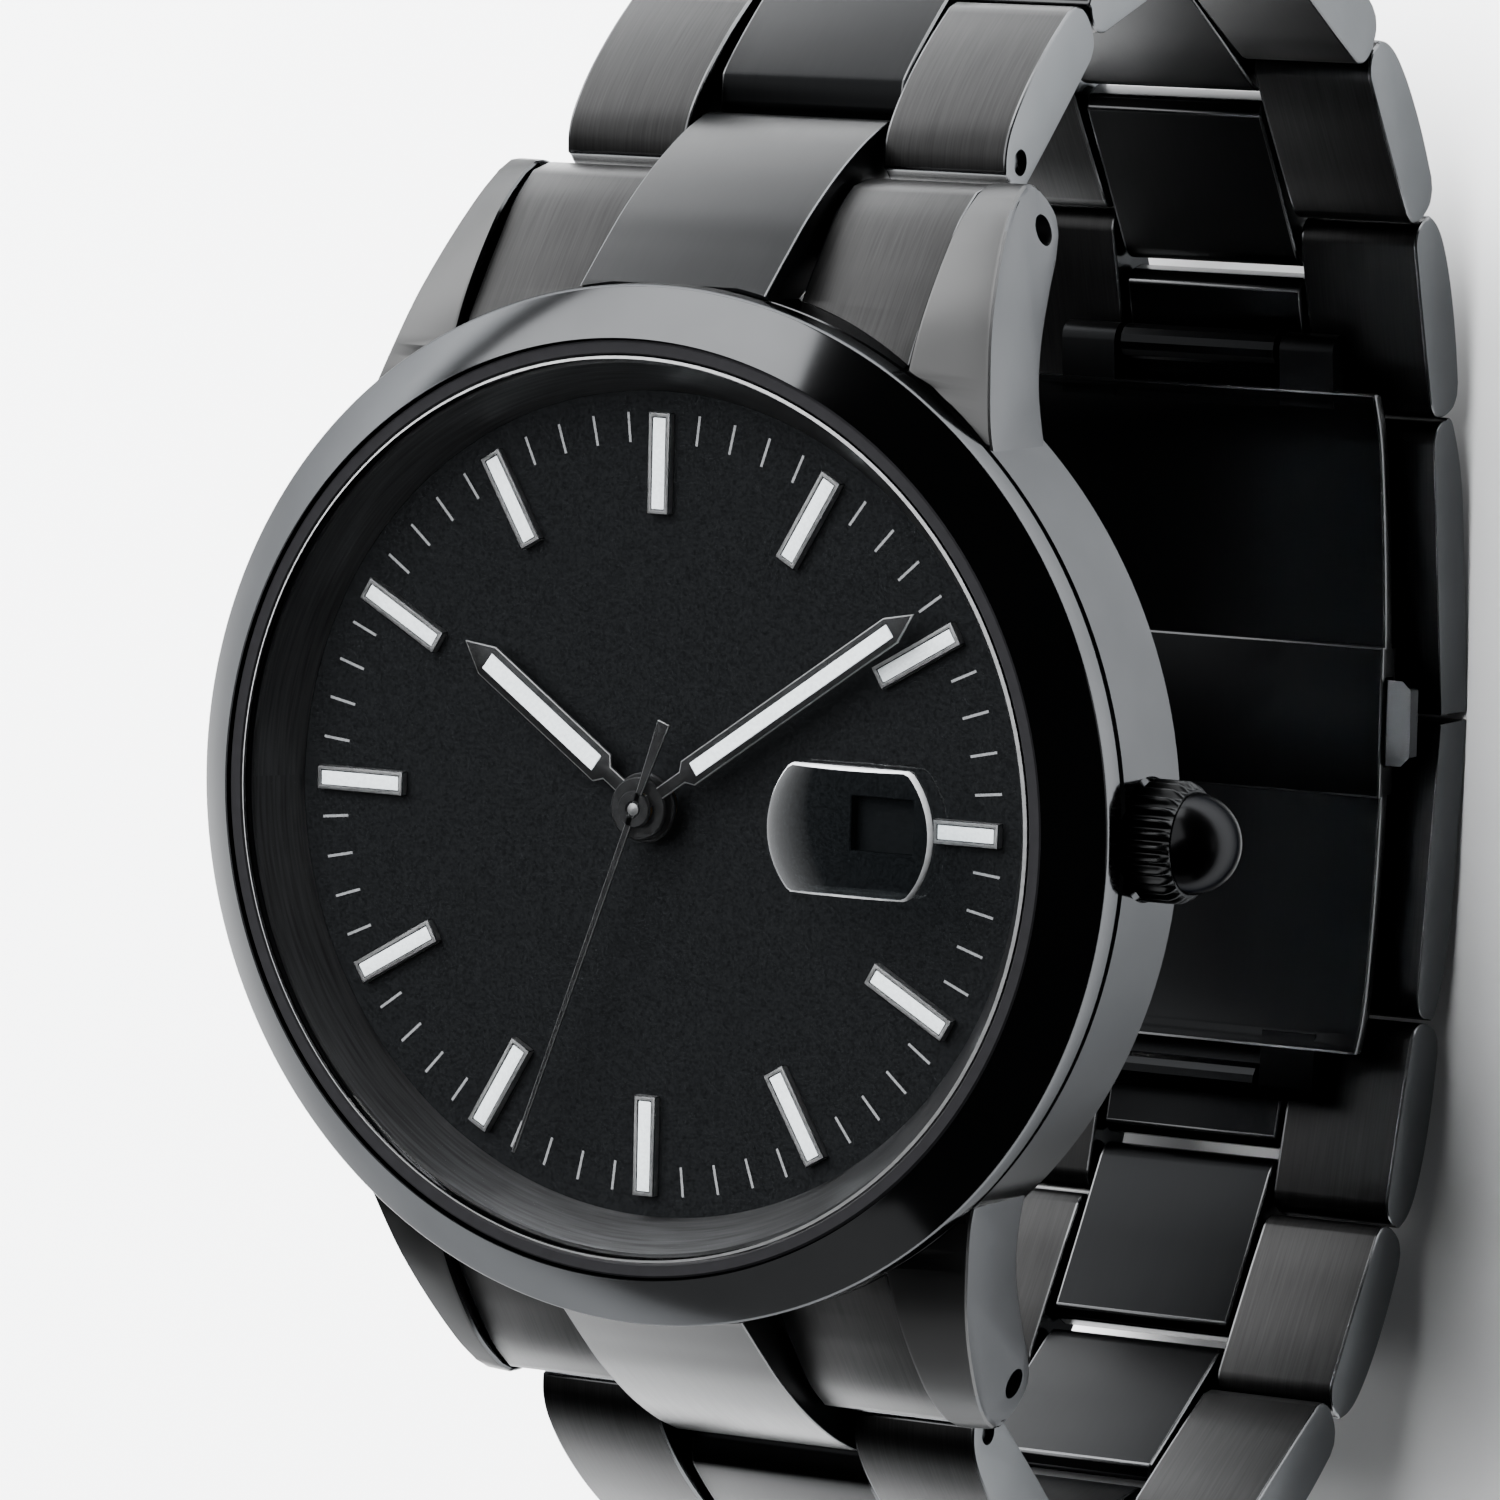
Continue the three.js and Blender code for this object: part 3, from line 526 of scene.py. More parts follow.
def add_camera():
    back = CAMERA_BACK.normalized()
    right = (CAMERA_RIGHT - back * CAMERA_RIGHT.dot(back)).normalized()
    up = back.cross(right)
    turn = Matrix((right, up, back)).transposed().to_4x4()
    data = bpy.data.cameras.new("camera")
    data.lens = FOCAL_LENGTH
    data.sensor_width = 36
    data.clip_start = 0.01
    data.clip_end = 20
    camera = bpy.data.objects.new("camera", data)
    camera.matrix_world = Matrix.Translation(CAMERA_PLACE * MM) @ turn
    bpy.context.scene.collection.objects.link(camera)
    bpy.context.scene.camera = camera


def add_lamp(name, direction, distance, size, watts, mirrored=True):
    """A soft box that faces the watch; one that isn't mirrored only lights matt surfaces."""
    towards = Vector(direction).normalized()
    data = bpy.data.lights.new(name, "AREA")
    data.shape = "RECTANGLE"
    data.size, data.size_y = size[0] * MM, size[1] * MM
    data.energy = watts
    lamp = bpy.data.objects.new(name, data)
    lamp.matrix_world = Matrix.Translation(towards * distance * MM) \
        @ towards.to_track_quat("Z", "Y").to_matrix().to_4x4()
    lamp.visible_glossy = mirrored
    lamp.visible_transmission = mirrored
    bpy.context.scene.collection.objects.link(lamp)


def add_world(strength):
    world = bpy.data.worlds.new("studio")
    world.use_nodes = True
    background = world.node_tree.nodes["Background"]
    background.inputs["Color"].default_value = (0.93, 0.96, 1.0, 1.0)
    background.inputs["Strength"].default_value = strength
    bpy.context.scene.world = world


def add_floor():
    half = FLOOR_HALF
    bm = bmesh.new()
    corners = [(-half, -half), (half, -half), (half, half), (-half, half)]
    bm.faces.new([bm.verts.new((x, y, FLOOR_Z - FLOOR_GAP)) for x, y in corners])
    moved(bm, Matrix.Scale(MM, 4))
    mesh = bpy.data.meshes.new("floor")
    bm.to_mesh(mesh)
    mesh.materials.append(grained("floor_paper", (0.87, 0.88, 0.89), 0.85, 60, 0.02,
                                  spread=(0.99, 1.01)))
    floor = bpy.data.objects.new("floor", mesh)
    bpy.context.scene.collection.objects.link(floor)


def add_studio():
    overhead = (-0.35, 0.5, 0.95)
    add_camera()
    add_world(0.025)
    add_floor()
    add_lamp("back_left", (-0.6, 0.76, 0.27), 600, (760, 300), 6.0)
    add_lamp("front_left", (-0.25, -0.95, 0.15), 700, (700, 300), 0.36)
    add_lamp("right", (0.95, 0.1, 0.1), 900, (500, 300), 0.3)
    add_lamp("overhead", overhead, 900, (900, 900), 90.0, mirrored=False)
    add_lamp("overhead_glow", overhead, 880, (800, 800), 6.0)


# ---- case ----------------------------------------------------------------------------

LUG_INNER = 10.0
LUG_ROOT = Vector((13.8, 14.6))  # the outer flank of a lug, seen from above
LUG_TIP = Vector((11.42, 24.3))
LUG_CROWN = 0.75                 # rise of a lug's top from its outer to its inner flank
LUG_TOP = 8.2
LUG_HOLE_R = 0.6
CASE_SIDE_LOW = 3.8              # lower edge of the polished case side
CASE_TOP = BEZEL_LOW.z - 0.04
BORE_R = 16.4                    # the bore that holds the movement, and its floor
BORE_Z = 2.45
TUBE_HOLE_R = 1.15
CROWN_RECESS_X = 19.5            # floor of the round recess that the crown sits in


def lug(side_x, side_y):
    """One lug, drawn out from its flat inner flank to an outer flank that runs in to the tip."""
    top = smooth_line([(13.4, 8.2), (15, 8.1), (17, 7.35), (19, 6.38), (21, 5.0), (22.7, 3.55),
                       (23.65, 2.45)], 5)
    tip = smooth_line([(24.02, 1.7), (24.0, 0.9), (23.5, 0.1), (22.8, -0.38), (22.0, -0.3)], 5)
    under = smooth_line([(21.1, 0.3), (19.7, 1.5), (17.85, 2.85), (16, 3.7), (13.4, 4.1)], 5)
    body = prism([*top, *tip, *under], 0, 1)
    narrowing = (LUG_ROOT.x - LUG_TIP.x) / (LUG_TIP.y - LUG_ROOT.y)
    for corner in body.verts:
        share, y, z = corner.co
        outer = LUG_ROOT.x - narrowing * (y - LUG_ROOT.y)
        lift = (1 - share) * LUG_CROWN * min(1, max(0, z / 4))
        corner.co = (LUG_INNER + share * (outer - LUG_INNER), y, min(LUG_TOP, z + lift))
    soften(body, 0.26, 40, 3)
    moved(body, Matrix.Diagonal((side_x, side_y, 1, 1)))
    bmesh.ops.recalc_face_normals(body, faces=body.faces)
    return body


def add_case():
    side_bevel = 0.12
    foot_r = BACK_R + 0.15
    body = turned([
        (foot_r, 1.2), (18.3, 1.3), (18.5, 1.5), (CASE_R - side_bevel, CASE_SIDE_LOW - 0.22),
        (CASE_R, CASE_SIDE_LOW), (CASE_R, CASE_TOP - 0.14), (CASE_R - side_bevel, CASE_TOP),
        (BORE_R, CASE_TOP), (BORE_R, BORE_Z), (foot_r, BORE_Z)])
    lugs = [lug(x, y) for x in (-1, 1) for y in (-1, 1)]
    whole = joined(body, *lugs)
    bore = turned([(0, BORE_Z), (BORE_R, BORE_Z), (BORE_R, CASE_TOP + 1), (0, CASE_TOP + 1)])
    recess_r = CROWN_R + 0.05
    mouth_x = CROWN_RECESS_X + 2.5
    recess = turned([(0, CROWN_RECESS_X), (recess_r, CROWN_RECESS_X), (recess_r, mouth_x),
                     (0, mouth_x)], 96)
    tube = rod(TUBE_HOLE_R, 15, 21, 0, STEM_Z)
    holes = []
    for y in (-SPRING_BAR.y, SPRING_BAR.y):
        for low, high in ((-LUG_ROOT.x - 1, 1 - LUG_INNER), (LUG_INNER - 1, LUG_ROOT.x + 1)):
            holes.append(rod(LUG_HOLE_R, low, high, y, SPRING_BAR.z))
    case = cut(whole, bore, along_x(recess, STEM_Z), tube, *holes)
    for face in case.faces:
        middle = face.calc_center_median()
        if middle.xy.length > CASE_R + 0.05 and abs(face.normal.x) < 0.7:
            face.material_index = 1
    piece("mid_case_shell", case, "case", PVD_POLISHED, PVD_LUG, stands_for=["mid_case"], smooth=28)


def add_bezel():
    """A short upright wall and a wide cone; the foot inside the wall leaves a seam to the case."""
    inner_r = 18.0
    foot_r = 17.3
    foot_top = 9.5
    wall_low = BEZEL_LOW.z + 0.2
    wall_top = 9.72
    bevel = 0.07
    profile = [
        (foot_r, BEZEL_LOW.z), (19.5, BEZEL_LOW.z), (19.52, wall_low), (BEZEL_R - bevel, wall_low),
        (BEZEL_R, wall_low + bevel), (BEZEL_R, wall_top - 0.08), (BEZEL_R - 0.03, wall_top + 0.02),
        (BEZEL_R - 0.1, wall_top + 0.1), (inner_r + 0.1, BEZEL_HIGH.z - 0.06),
        (inner_r + 0.03, BEZEL_HIGH.z), (inner_r, BEZEL_HIGH.z - 0.06), (inner_r, foot_top),
        (foot_r, foot_top)]
    piece("bezel_ring", turned(profile, 256), "case", PVD_POLISHED, stands_for=["bezel"], smooth=25)


def add_crystal():
    low, high = CRYSTAL_LOW.z, CRYSTAL_HIGH.z
    edge = 0.1
    profile = [(0, low), (CRYSTAL_R - edge, low), (CRYSTAL_R, low + edge),
               (CRYSTAL_R, high - edge), (CRYSTAL_R - edge, high), (0, high)]
    pane = turned(profile, 256)
    # the top chamfer takes the crystal_rim slot, whose light grey is a painted highlight
    for face in pane.faces:
        middle = face.calc_center_median()
        if middle.xy.length > CRYSTAL_R - edge and middle.z > high - edge:
            face.material_index = 1
    piece("crystal_pane", pane, "case", CRYSTAL_GLASS, CRYSTAL_RIM, stands_for=["crystal"],
          smooth=20)
    seal_low, seal_high = box_mm("crystal_gasket")
    inner_r = CRYSTAL_R + 0.06
    outer_r = seal_high.x + 0.02
    ring = [(inner_r, seal_low.z), (outer_r, seal_low.z), (outer_r, seal_high.z - 0.1),
            (outer_r - 0.09, seal_high.z), (inner_r + 0.06, seal_high.z),
            (inner_r, seal_high.z - 0.08)]
    piece("crystal_seal", turned(ring), "case", RUBBER, stands_for=["crystal_gasket"])


def lens_height(distance, r, edge, rise):
    """Height of the lens above its seat at a distance from its middle."""
    fullness = 0.575             # 0.5 is an ellipse; more is flatter at the edge
    return edge + (rise - edge) * max(0.0, 1 - (distance / r) ** 2) ** fullness


def add_lens():
    """The date lens: a dome ground flat at its 12 and 6 o'clock sides, with a chamfered wall."""
    r = (LENS_HIGH.x - LENS_LOW.x) / 2
    half = (LENS_HIGH.y - LENS_LOW.y) / 2
    rise = LENS_HIGH.z - LENS_LOW.z
    seat = 0.01                  # cement between the lens and the crystal
    edge = 0.2
    chamfer = 0.1
    turns, rings = 96, 15
    bm = bmesh.new()
    lines = [[] for _ in range(rings + 1)]
    for i in range(turns):
        angle = math.tau * i / turns
        reach = min(r, half / max(ON_AXIS, abs(math.sin(angle))))
        x, y = reach * math.cos(angle), reach * math.sin(angle)
        lines[0].append(bm.verts.new((x, y, seat)))
        lines[1].append(bm.verts.new((x, y, lens_height(reach, r, edge, rise) - chamfer)))
        for k in range(2, rings + 1):
            share = (1 - chamfer / reach) * math.cos(math.pi / 2 * (k - 2) / (rings - 1))
            z = lens_height(reach * share, r, edge, rise)
            lines[k].append(bm.verts.new((x * share, y * share, z)))
    middles = [bm.verts.new((0, 0, seat)), bm.verts.new((0, 0, rise))]
    for i in range(turns):
        k = (i + 1) % turns
        bm.faces.new((lines[0][k], lines[0][i], middles[0]))
        bm.faces.new((lines[rings][i], lines[rings][k], middles[1]))
        for number, (low, high) in enumerate(zip(lines, lines[1:])):
            side = bm.faces.new((low[i], low[k], high[k], high[i]))
            # the wall and its chamfer take the lens_rim slot, whose light grey is a painted highlight
            side.material_index = 1 if number < 2 else 0
    bmesh.ops.recalc_face_normals(bm, faces=bm.faces)
    moved(bm, Matrix.Translation((LENS_X, 0, LENS_LOW.z)))
    piece("date_lens", bm, "case", LENS_GLASS, LENS_RIM, stands_for=["date_magnifier"],
          smooth=30)


def add_rehaut():
    """The sloped ring between the dial and the crystal."""
    low, high = REHAUT_LOW.z, REHAUT_HIGH.z
    foot_r = 15.9
    outer_r = REHAUT_HIGH.x
    slope = [(foot_r, low), (outer_r, low), (outer_r, high), (outer_r - 0.14, high),
             (outer_r - 0.2, high - 0.06)]
    piece("rehaut", turned(slope), "case", PVD_CIRCULAR, stands_for=["rehaut_ring"], smooth=20)


# ---- dial ----------------------------------------------------------------------------

MARKER_START = 11.2
SHORT_MARKER_START = 12.3        # the one at 3 o'clock, beside the date
MARKER_END = 15.1
MARKER_WIDTH = 0.95
MARKER_HEIGHT = 0.38
MARKER_WALL = 0.2                # of the metal frame round the filling
MARKER_POCKET = 0.1
TICK_START = 13.95
TICK_END = 15.1
TICK_WIDTH = 0.1
PRINT_HEIGHT = 0.012
CENTRE_HOLE_R = 0.95
DATE_WINDOW = Vector((2.7, 2.1))


def clockwise(degrees):
    return Matrix.Rotation(-math.radians(degrees), 4, "Z")


def add_dial():
    r = DIAL_HIGH.x
    bevel = 0.03
    disc = turned([(CENTRE_HOLE_R, DIAL_LOW.z), (r, DIAL_LOW.z), (r, DIAL_Z - bevel),
                   (r - bevel, DIAL_Z), (CENTRE_HOLE_R, DIAL_Z)])
    half = DATE_WINDOW / 2
    window = brick((LENS_X - half.x, -half.y, DIAL_LOW.z - 1), (LENS_X + half.x, half.y, DIAL_Z + 1))
    dial = soften(cut(disc, window), 0.04, 60, 1)
    piece("dial_plate", dial, "case", DIAL_PAINT, stands_for=["dial"])


def add_markers():
    """Twelve applied bars, each a metal frame round a luminous filling."""
    half = MARKER_WIDTH / 2
    wall = MARKER_WALL
    top = DIAL_Z + MARKER_HEIGHT
    for hour in range(12):
        turn = clockwise(30 * hour)
        start = SHORT_MARKER_START if hour == 3 else MARKER_START
        bar = brick((-half, start, DIAL_Z), (half, MARKER_END, top))
        pocket = brick((-half + wall, start + wall, top - MARKER_POCKET),
                       (half - wall, MARKER_END - wall, top + 1))
        frame_bar = soften(cut(bar, pocket), 0.035, 50, 2, 1)
        piece(f"marker_{hour or 12}", moved(frame_bar, turn), "case", MARKER_METAL, PVD_EDGE)
        filling = brick((-half + wall, start + wall, DIAL_Z + 0.2),
                        (half - wall, MARKER_END - wall, top - 0.02))
        piece(f"marker_{hour or 12}_lume", moved(soften(filling, 0.04, 50, 2), turn), "case", LUME)


def add_minute_track():
    """A printed line at each minute that has no marker."""
    half = TICK_WIDTH / 2
    ticks = []
    for minute in range(60):
        if minute % 5:
            tick = brick((-half, TICK_START, DIAL_Z), (half, TICK_END, DIAL_Z + PRINT_HEIGHT))
            ticks.append(moved(tick, clockwise(6 * minute)))
    piece("minute_track", merged(*ticks), "case", PRINT)


# ---- hands ---------------------------------------------------------------------------

HOUR_ANGLE = 305.9               # degrees clockwise from 12 o'clock
MINUTE_ANGLE = 55.0
SECONDS_ANGLE = 200.2


def pointed_hand(name, body, angle, hub_r, neck, start, half, end, tip, lume_half):
    """A hand with a hub, a neck, a straight blade and a pointed tip, filled with lume.

    neck, half and lume_half are half widths; start, end and tip are distances from the centre.
    """
    low, high = box_mm(name)
    hub_wall = 0.55
    rim_top = high.z + 0.01
    outline = [(neck, 0), (neck, start - 0.3), (half, start), (half, end), (0, tip),
               (-half, end), (-half, start), (-neck, start - 0.3), (-neck, 0)]
    blade = soften(prism(outline, low.z, high.z, "Z"), 0.05, 20, 2, 1)
    ring = [(hub_r - hub_wall, low.z), (hub_r, low.z), (hub_r, high.z - 0.04),
            (hub_r - 0.05, rim_top), (hub_r - hub_wall + 0.05, rim_top),
            (hub_r - hub_wall, high.z - 0.03)]
    hub = turned(ring, 64)
    turn = clockwise(angle)
    piece(f"{name}_blade", moved(merged(blade, hub), turn), body, HAND_METAL, HAND_EDGE,
          stands_for=[name])
    filling = brick((-lume_half, start + 0.28, high.z - 0.05), (lume_half, end - 0.02, high.z + 0.02))
    piece(f"{name}_lume", moved(soften(filling, 0.02, 50, 1), turn), body, LUME)


def add_seconds_hand():
    """A thin tapering needle with a wider tail, a hub and a polished pin."""
    low, high = box_mm("seconds_hand")
    half_line = [(0.27, -3.65), (0.13, -0.8), (0.13, 0.8), (0.07, 14.6)]
    outline = [*half_line, *[(-x, y) for x, y in reversed(half_line)]]
    blade = soften(prism(outline, low.z, high.z, "Z"), 0.03, 20, 1, 1)
    hub = turned([(0, low.z), (0.7, low.z), (0.72, low.z + 0.05), (0.66, high.z), (0.34, high.z),
                  (0.3, high.z - 0.05), (0, high.z - 0.05)], 64)
    cap = turned([(0, high.z - 0.04), (0.22, high.z - 0.04), (0.24, high.z), (0.15, high.z + 0.04),
                  (0, high.z + 0.05)], 32)
    turn = clockwise(SECONDS_ANGLE)
    piece("seconds_hand_blade", moved(merged(blade, hub), turn), "seconds", HAND_METAL, HAND_EDGE,
          stands_for=["seconds_hand"])
    piece("seconds_pin", cap, "seconds", MARKER_METAL)


# ---- crown ---------------------------------------------------------------------------

FLUTES = 28
FLUTE_DEPTH = 0.28
CABOCHON_R = 1.95


def fluted_barrel(inner_x, outer_x, r):
    """A barrel along X with rounded flutes that run out at both chamfered ends.

    Each station is a place along X, the radius there and the share of the full flute depth.
    """
    stations = [(inner_x, r - 0.32, 0.0), (inner_x + 0.12, r - 0.16, 0.35), (inner_x + 0.3, r, 1.0),
                (outer_x - 0.45, r, 1.0), (outer_x - 0.2, r - 0.12, 0.6), (outer_x, r - 0.3, 0.0)]
    steps = FLUTES * 10
    bm = bmesh.new()
    rings = []
    for x, outer, share in stations:
        ring = []
        for i in range(steps):
            angle = math.tau * i / steps
            groove = 0.5 - 0.5 * math.cos(FLUTES * angle)
            reach = outer - FLUTE_DEPTH * share * groove
            y, z = reach * math.cos(angle), reach * math.sin(angle)
            ring.append(bm.verts.new((x, y, STEM_Z + z)))
        rings.append(ring)
    for low, high in zip(rings, rings[1:]):
        for i in range(steps):
            k = (i + 1) % steps
            bm.faces.new((low[i], low[k], high[k], high[i]))
    bm.faces.new(rings[0])
    bm.faces.new(rings[-1])
    bmesh.ops.recalc_face_normals(bm, faces=bm.faces)
    return bm


def add_crown():
    inner_x = CROWN_LOW.x - 0.25
    ball_x = CROWN_HIGH.x - CABOCHON_R
    barrel = fluted_barrel(inner_x, ball_x + 0.15, CROWN_R)
    piece("crown_barrel", barrel, "crown", PVD_KNURL, stands_for=["crown"], smooth=50)
    dome = arc((0, ball_x), CABOCHON_R, 0, 90, 24)[:-1]
    seat_x = ball_x - 0.1
    ball = turned([(0, seat_x), (CABOCHON_R, seat_x), *dome, (0, ball_x + CABOCHON_R)], 96)
    piece("crown_cabochon", along_x(ball, STEM_Z), "crown", PVD_DOME, smooth=40)


# ---- end links and bracelet -----------------------------------------------------------

SHOULDER_OUTER = 9.9             # outer flank of an end link, close to the lug
NEAR_END_R = 1.06                # round end of an outer bar, about its pin
CROSS_PIN = (4.7, 0.35)          # the pin inside a link: along it and outwards from its hinge
CROSS_PIN_R = 0.5
HINGE_PIN_R = 0.45
PIN_HOLE_R = 0.52
CROSS_PIN_HALF = 9.0


def half_turn(label):
    """Identity for the 12 o'clock half, half a turn about Z for the 6 o'clock half."""
    return Matrix.Rotation(math.pi if label == "6" else 0.0, 4, "Z")


def clear_of_case():
    """The case side and, above it, a space round the bezel, to cut an end link's front with."""
    low_r = CASE_R + 0.01
    high_r = BEZEL_R + 0.12
    step_z = 8.3
    return turned([(0, -2), (low_r, -2), (low_r, step_z), (high_r, step_z), (high_r, 12), (0, 12)],
                  256)


def add_end_link(label):
    """Two brushed shoulders between the lugs and a raised tongue that reaches the first link."""
    place = half_turn(label)
    node = f"end_link_{label}"
    top = smooth_line([(17.2, 7.7), (18.2, 7.15), (19.9, 5.98), (20.9, 5.25), (22.6, 3.9),
                       (23.7, 2.55)], 5)
    nose = smooth_line([(23.95, 1.4), (23.88, 0.6), (23.3, 0.05)], 4)
    outline = [*top, *nose, (21.5, 0.0), (20.4, 1.2), (18.5, 3.0), (17.2, 3.6)]
    for side, sign in (("left", -1), ("right", 1)):
        low, high = sorted((sign * OUTER_INNER, sign * SHOULDER_OUTER))
        shoulder = cut(soften(prism(outline, low, high), 0.1, 40, 2, 1), clear_of_case())
        stands_for = [node] if side == "left" else []
        piece(f"{node}_{side}", moved(shoulder, place), "case", PVD_BRUSHED, PVD_EDGE,
              stands_for=stands_for)
    crest = smooth_line([(19.3, 8.98), (20.35, 7.85), (21.36, 6.74), (22.66, 5.23), (24.15, 3.12),
                         (25.35, 0.97), (26.05, -0.75)], 6)
    end = smooth_line([(26.1, -1.1), (25.75, -1.65), (25.1, -2.05), (24.4, -2.1), (23.65, -1.6),
                       (23.3, -0.4)], 5)
    tongue_outline = [*crest, *end, (22.0, 1.0), (20.9, 3.4), (19.3, 6.2)]
    tongue = soften(prism(tongue_outline, -CENTRE_HALF, CENTRE_HALF), 0.1, 32, 3, 1)
    tongue = cut(tongue, clear_of_case())
    piece(f"{node}_tongue", moved(tongue, place), "case", PVD_SATIN, PVD_EDGE)
    web_half = SHOULDER_OUTER - 0.3
    web = brick((-web_half, 20.6, 0.6), (web_half, 22.2, 2.6))
    piece(f"{node}_web", moved(web, place), "case", PVD_BRUSHED)


def near_end():
    """The round end of an outer bar, which turns about its pin."""
    return arc((0, 0), NEAR_END_R, 262, 168, 8)


def link_outline():
    """Side view of an outer bar: round near its pin, arched on top, round at its far end."""
    top = smooth_line([(-1.14, 0.45), (-0.62, 1.02), (0.09, 1.42), (1.07, 1.68), (2.25, 1.84),
                       (3.6, 1.9), (5.0, 1.87), (6.6, 1.74)], 4)
    far = smooth_line([(7.12, 1.55), (7.5, 1.1), (7.62, 0.5), (7.55, -0.15), (7.25, -0.68),
                       (6.7, -0.93)], 4)
    under = smooth_line([(4.65, -1.0), (2.16, -1.04)], 4)
    return [*near_end(), *top, *far, *under]


def centre_outline():
    """Side view of a centre bar: chamfered at its near end, round where it takes the pin."""
    top = smooth_line([(1.82, 0.66), (2.45, 1.32), (3.0, 1.53), (5.0, 1.62), (7.4, 1.57),
                       (PITCH + 0.4, 1.42)], 5)
    far = smooth_line([(PITCH + 0.95, 1.05), (PITCH + 1.24, 0.4), (PITCH + 1.2, -0.3),
                       (PITCH + 0.8, -0.85), (PITCH + 0.2, -1.0)], 4)
    return [*top, *far, (5.5, -0.92), (2.0, -0.9), (1.64, -0.4), (1.67, 0.3)]


def link_place(label, joint, next_point):
    """Frame of a link: its origin on its pin, Y towards the next pin and Z outwards."""
    start = joint_mm(joint)
    along = next_point - start
    run = -along.y if label == "6" else along.y
    turn = half_turn(label) @ Matrix.Rotation(math.atan2(along.z, run), 4, "X")
    return Matrix.Translation(start * MM) @ turn


def outer_bar(outline, sign, with_hole):
    """A bar with brushed faces and polished flanks; the pin's hole shows only on some links."""
    low, high = sorted((sign * OUTER_INNER, sign * BAND_HALF))
    bar = soften(prism(outline, low, high), 0.13, 40, 3, 1)
    if with_hole:
        ends = sorted((sign * (BAND_HALF - 0.75), sign * (BAND_HALF + 1)))
        bar = cut(bar, rod(PIN_HOLE_R, *ends, segments=24))
    for face in bar.faces:
        if abs(face.normal.x) > 0.9:
            face.material_index = 2
    return bar


def add_link(name, place, outer, centre, with_hole=False, extra_pins=()):
    """One link: two outer bars, the centre bar that overlaps the next link, and its pins."""
    for side, sign in (("left", -1), ("right", 1)):
        stands_for = [name] if side == "left" else []
        piece(f"{name}_outer_{side}", outer_bar(outer, sign, with_hole), name, PVD_BRUSHED,
              PVD_EDGE, PVD_FLANK, place=place, stands_for=stands_for)
    bar = soften(prism(centre, -CENTRE_HALF, CENTRE_HALF), 0.12, 34, 3, 1)
    piece(f"{name}_centre", bar, name, PVD_SATIN, PVD_EDGE, place=place)
    pins = [soften(rod(HINGE_PIN_R, 0.25 - BAND_HALF, BAND_HALF - 0.25), 0.06, 50, 1)]
    pins += [rod(CROSS_PIN_R, -CROSS_PIN_HALF, CROSS_PIN_HALF, y, z)
             for y, z in (CROSS_PIN, *extra_pins)]
    piece(f"{name}_pins", merged(*pins), name, PVD_FLANK, place=place)


def joint_name(label, number):
    """The hinge that carries link number 1 to 6, or the clasp end as number 7."""
    if number == 7:
        return f"clasp_end_{label}_hinge"
    return "bracelet_fold" if (label, number) == ("6", 1) else f"link_{label}_{number}_hinge"


def add_bracelet(label):
    """Six links of one half, and the longer last one that ends at the clasp's opening."""
    outer = link_outline()
    centre = centre_outline()
    for number in range(1, 7):
        next_pin = joint_mm(joint_name(label, number + 1))
        place = link_place(label, joint_name(label, number), next_pin)
        name = f"link_{label}_{number}"
        add_link(name, place, outer, centre, with_hole=number == 1)
    tip = joint_mm(f"clasp_arm_{label}_hinge")
    place = link_place(label, joint_name(label, 7), tip)
    reach = (tip - joint_mm(joint_name(label, 7))).length
    end_top, end_low = (reach + 2.62, 1.62), (reach + 2.32, -0.86)
    top = smooth_line([(-1.13, 0.42), (-0.75, 0.8), (0.93, 1.36), (2.7, 1.6), (5.0, 1.66)], 5)
    outer_end = [*near_end(), *top, end_top, end_low, (1.6, -1.0)]
    nose = smooth_line([(2.1, 0.66), (2.75, 1.32), (3.3, 1.53), (5.0, 1.6)], 5)
    centre_end = [*nose, end_top, end_low, (reach + 1.5, -0.86), (reach + 1.3, 0.92),
                  (reach - 1.5, 0.92), (reach - 1.7, -0.86), (2.3, -0.9), (1.92, -0.4), (1.95, 0.3)]
    name = f"clasp_end_{label}"
    add_link(name, place, outer_end, centre_end, extra_pins=[(reach, 0.0)])


# ---- back, movement and clasp ----------------------------------------------------------

BACK_NOTCHES = 6                 # for the wrench


def add_case_back():
    """A stepped ring with wrench notches, its spigot inside the case, and the back glass."""
    glass_low, glass_high = box_mm("case_back_glass")
    glass_r = glass_high.x
    window_r = glass_r + 0.12
    spigot_r = BORE_R - 0.1
    ring = turned([
        (window_r, 0.12), (12.5, 0.02), (14.6, 0), (16.9, 0.02), (BACK_R, 0.5), (BACK_R, 2.3),
        (spigot_r, 2.3), (spigot_r, 3.0), (12.9, 3.0), (12.9, 1.56), (window_r, 1.56)])
    notches = []
    for i in range(BACK_NOTCHES):
        notch = brick((15.4, -0.95, -1), (16.75, 0.95, 0.7))
        notches.append(moved(notch, clockwise(-360 * i / BACK_NOTCHES)))
    piece("case_back_ring", soften(cut(ring, *notches), 0.05, 50, 1), "case", BACK_CIRCULAR,
          stands_for=["case_back"], smooth=25)
    bevel = 0.15
    pane = turned([(0, glass_low.z), (glass_r - bevel, glass_low.z), (glass_r, glass_low.z + bevel),
                   (glass_r, glass_high.z), (0, glass_high.z)])
    piece("case_back_pane", pane, "case", CRYSTAL_GLASS, stands_for=["case_back_glass"], smooth=20)


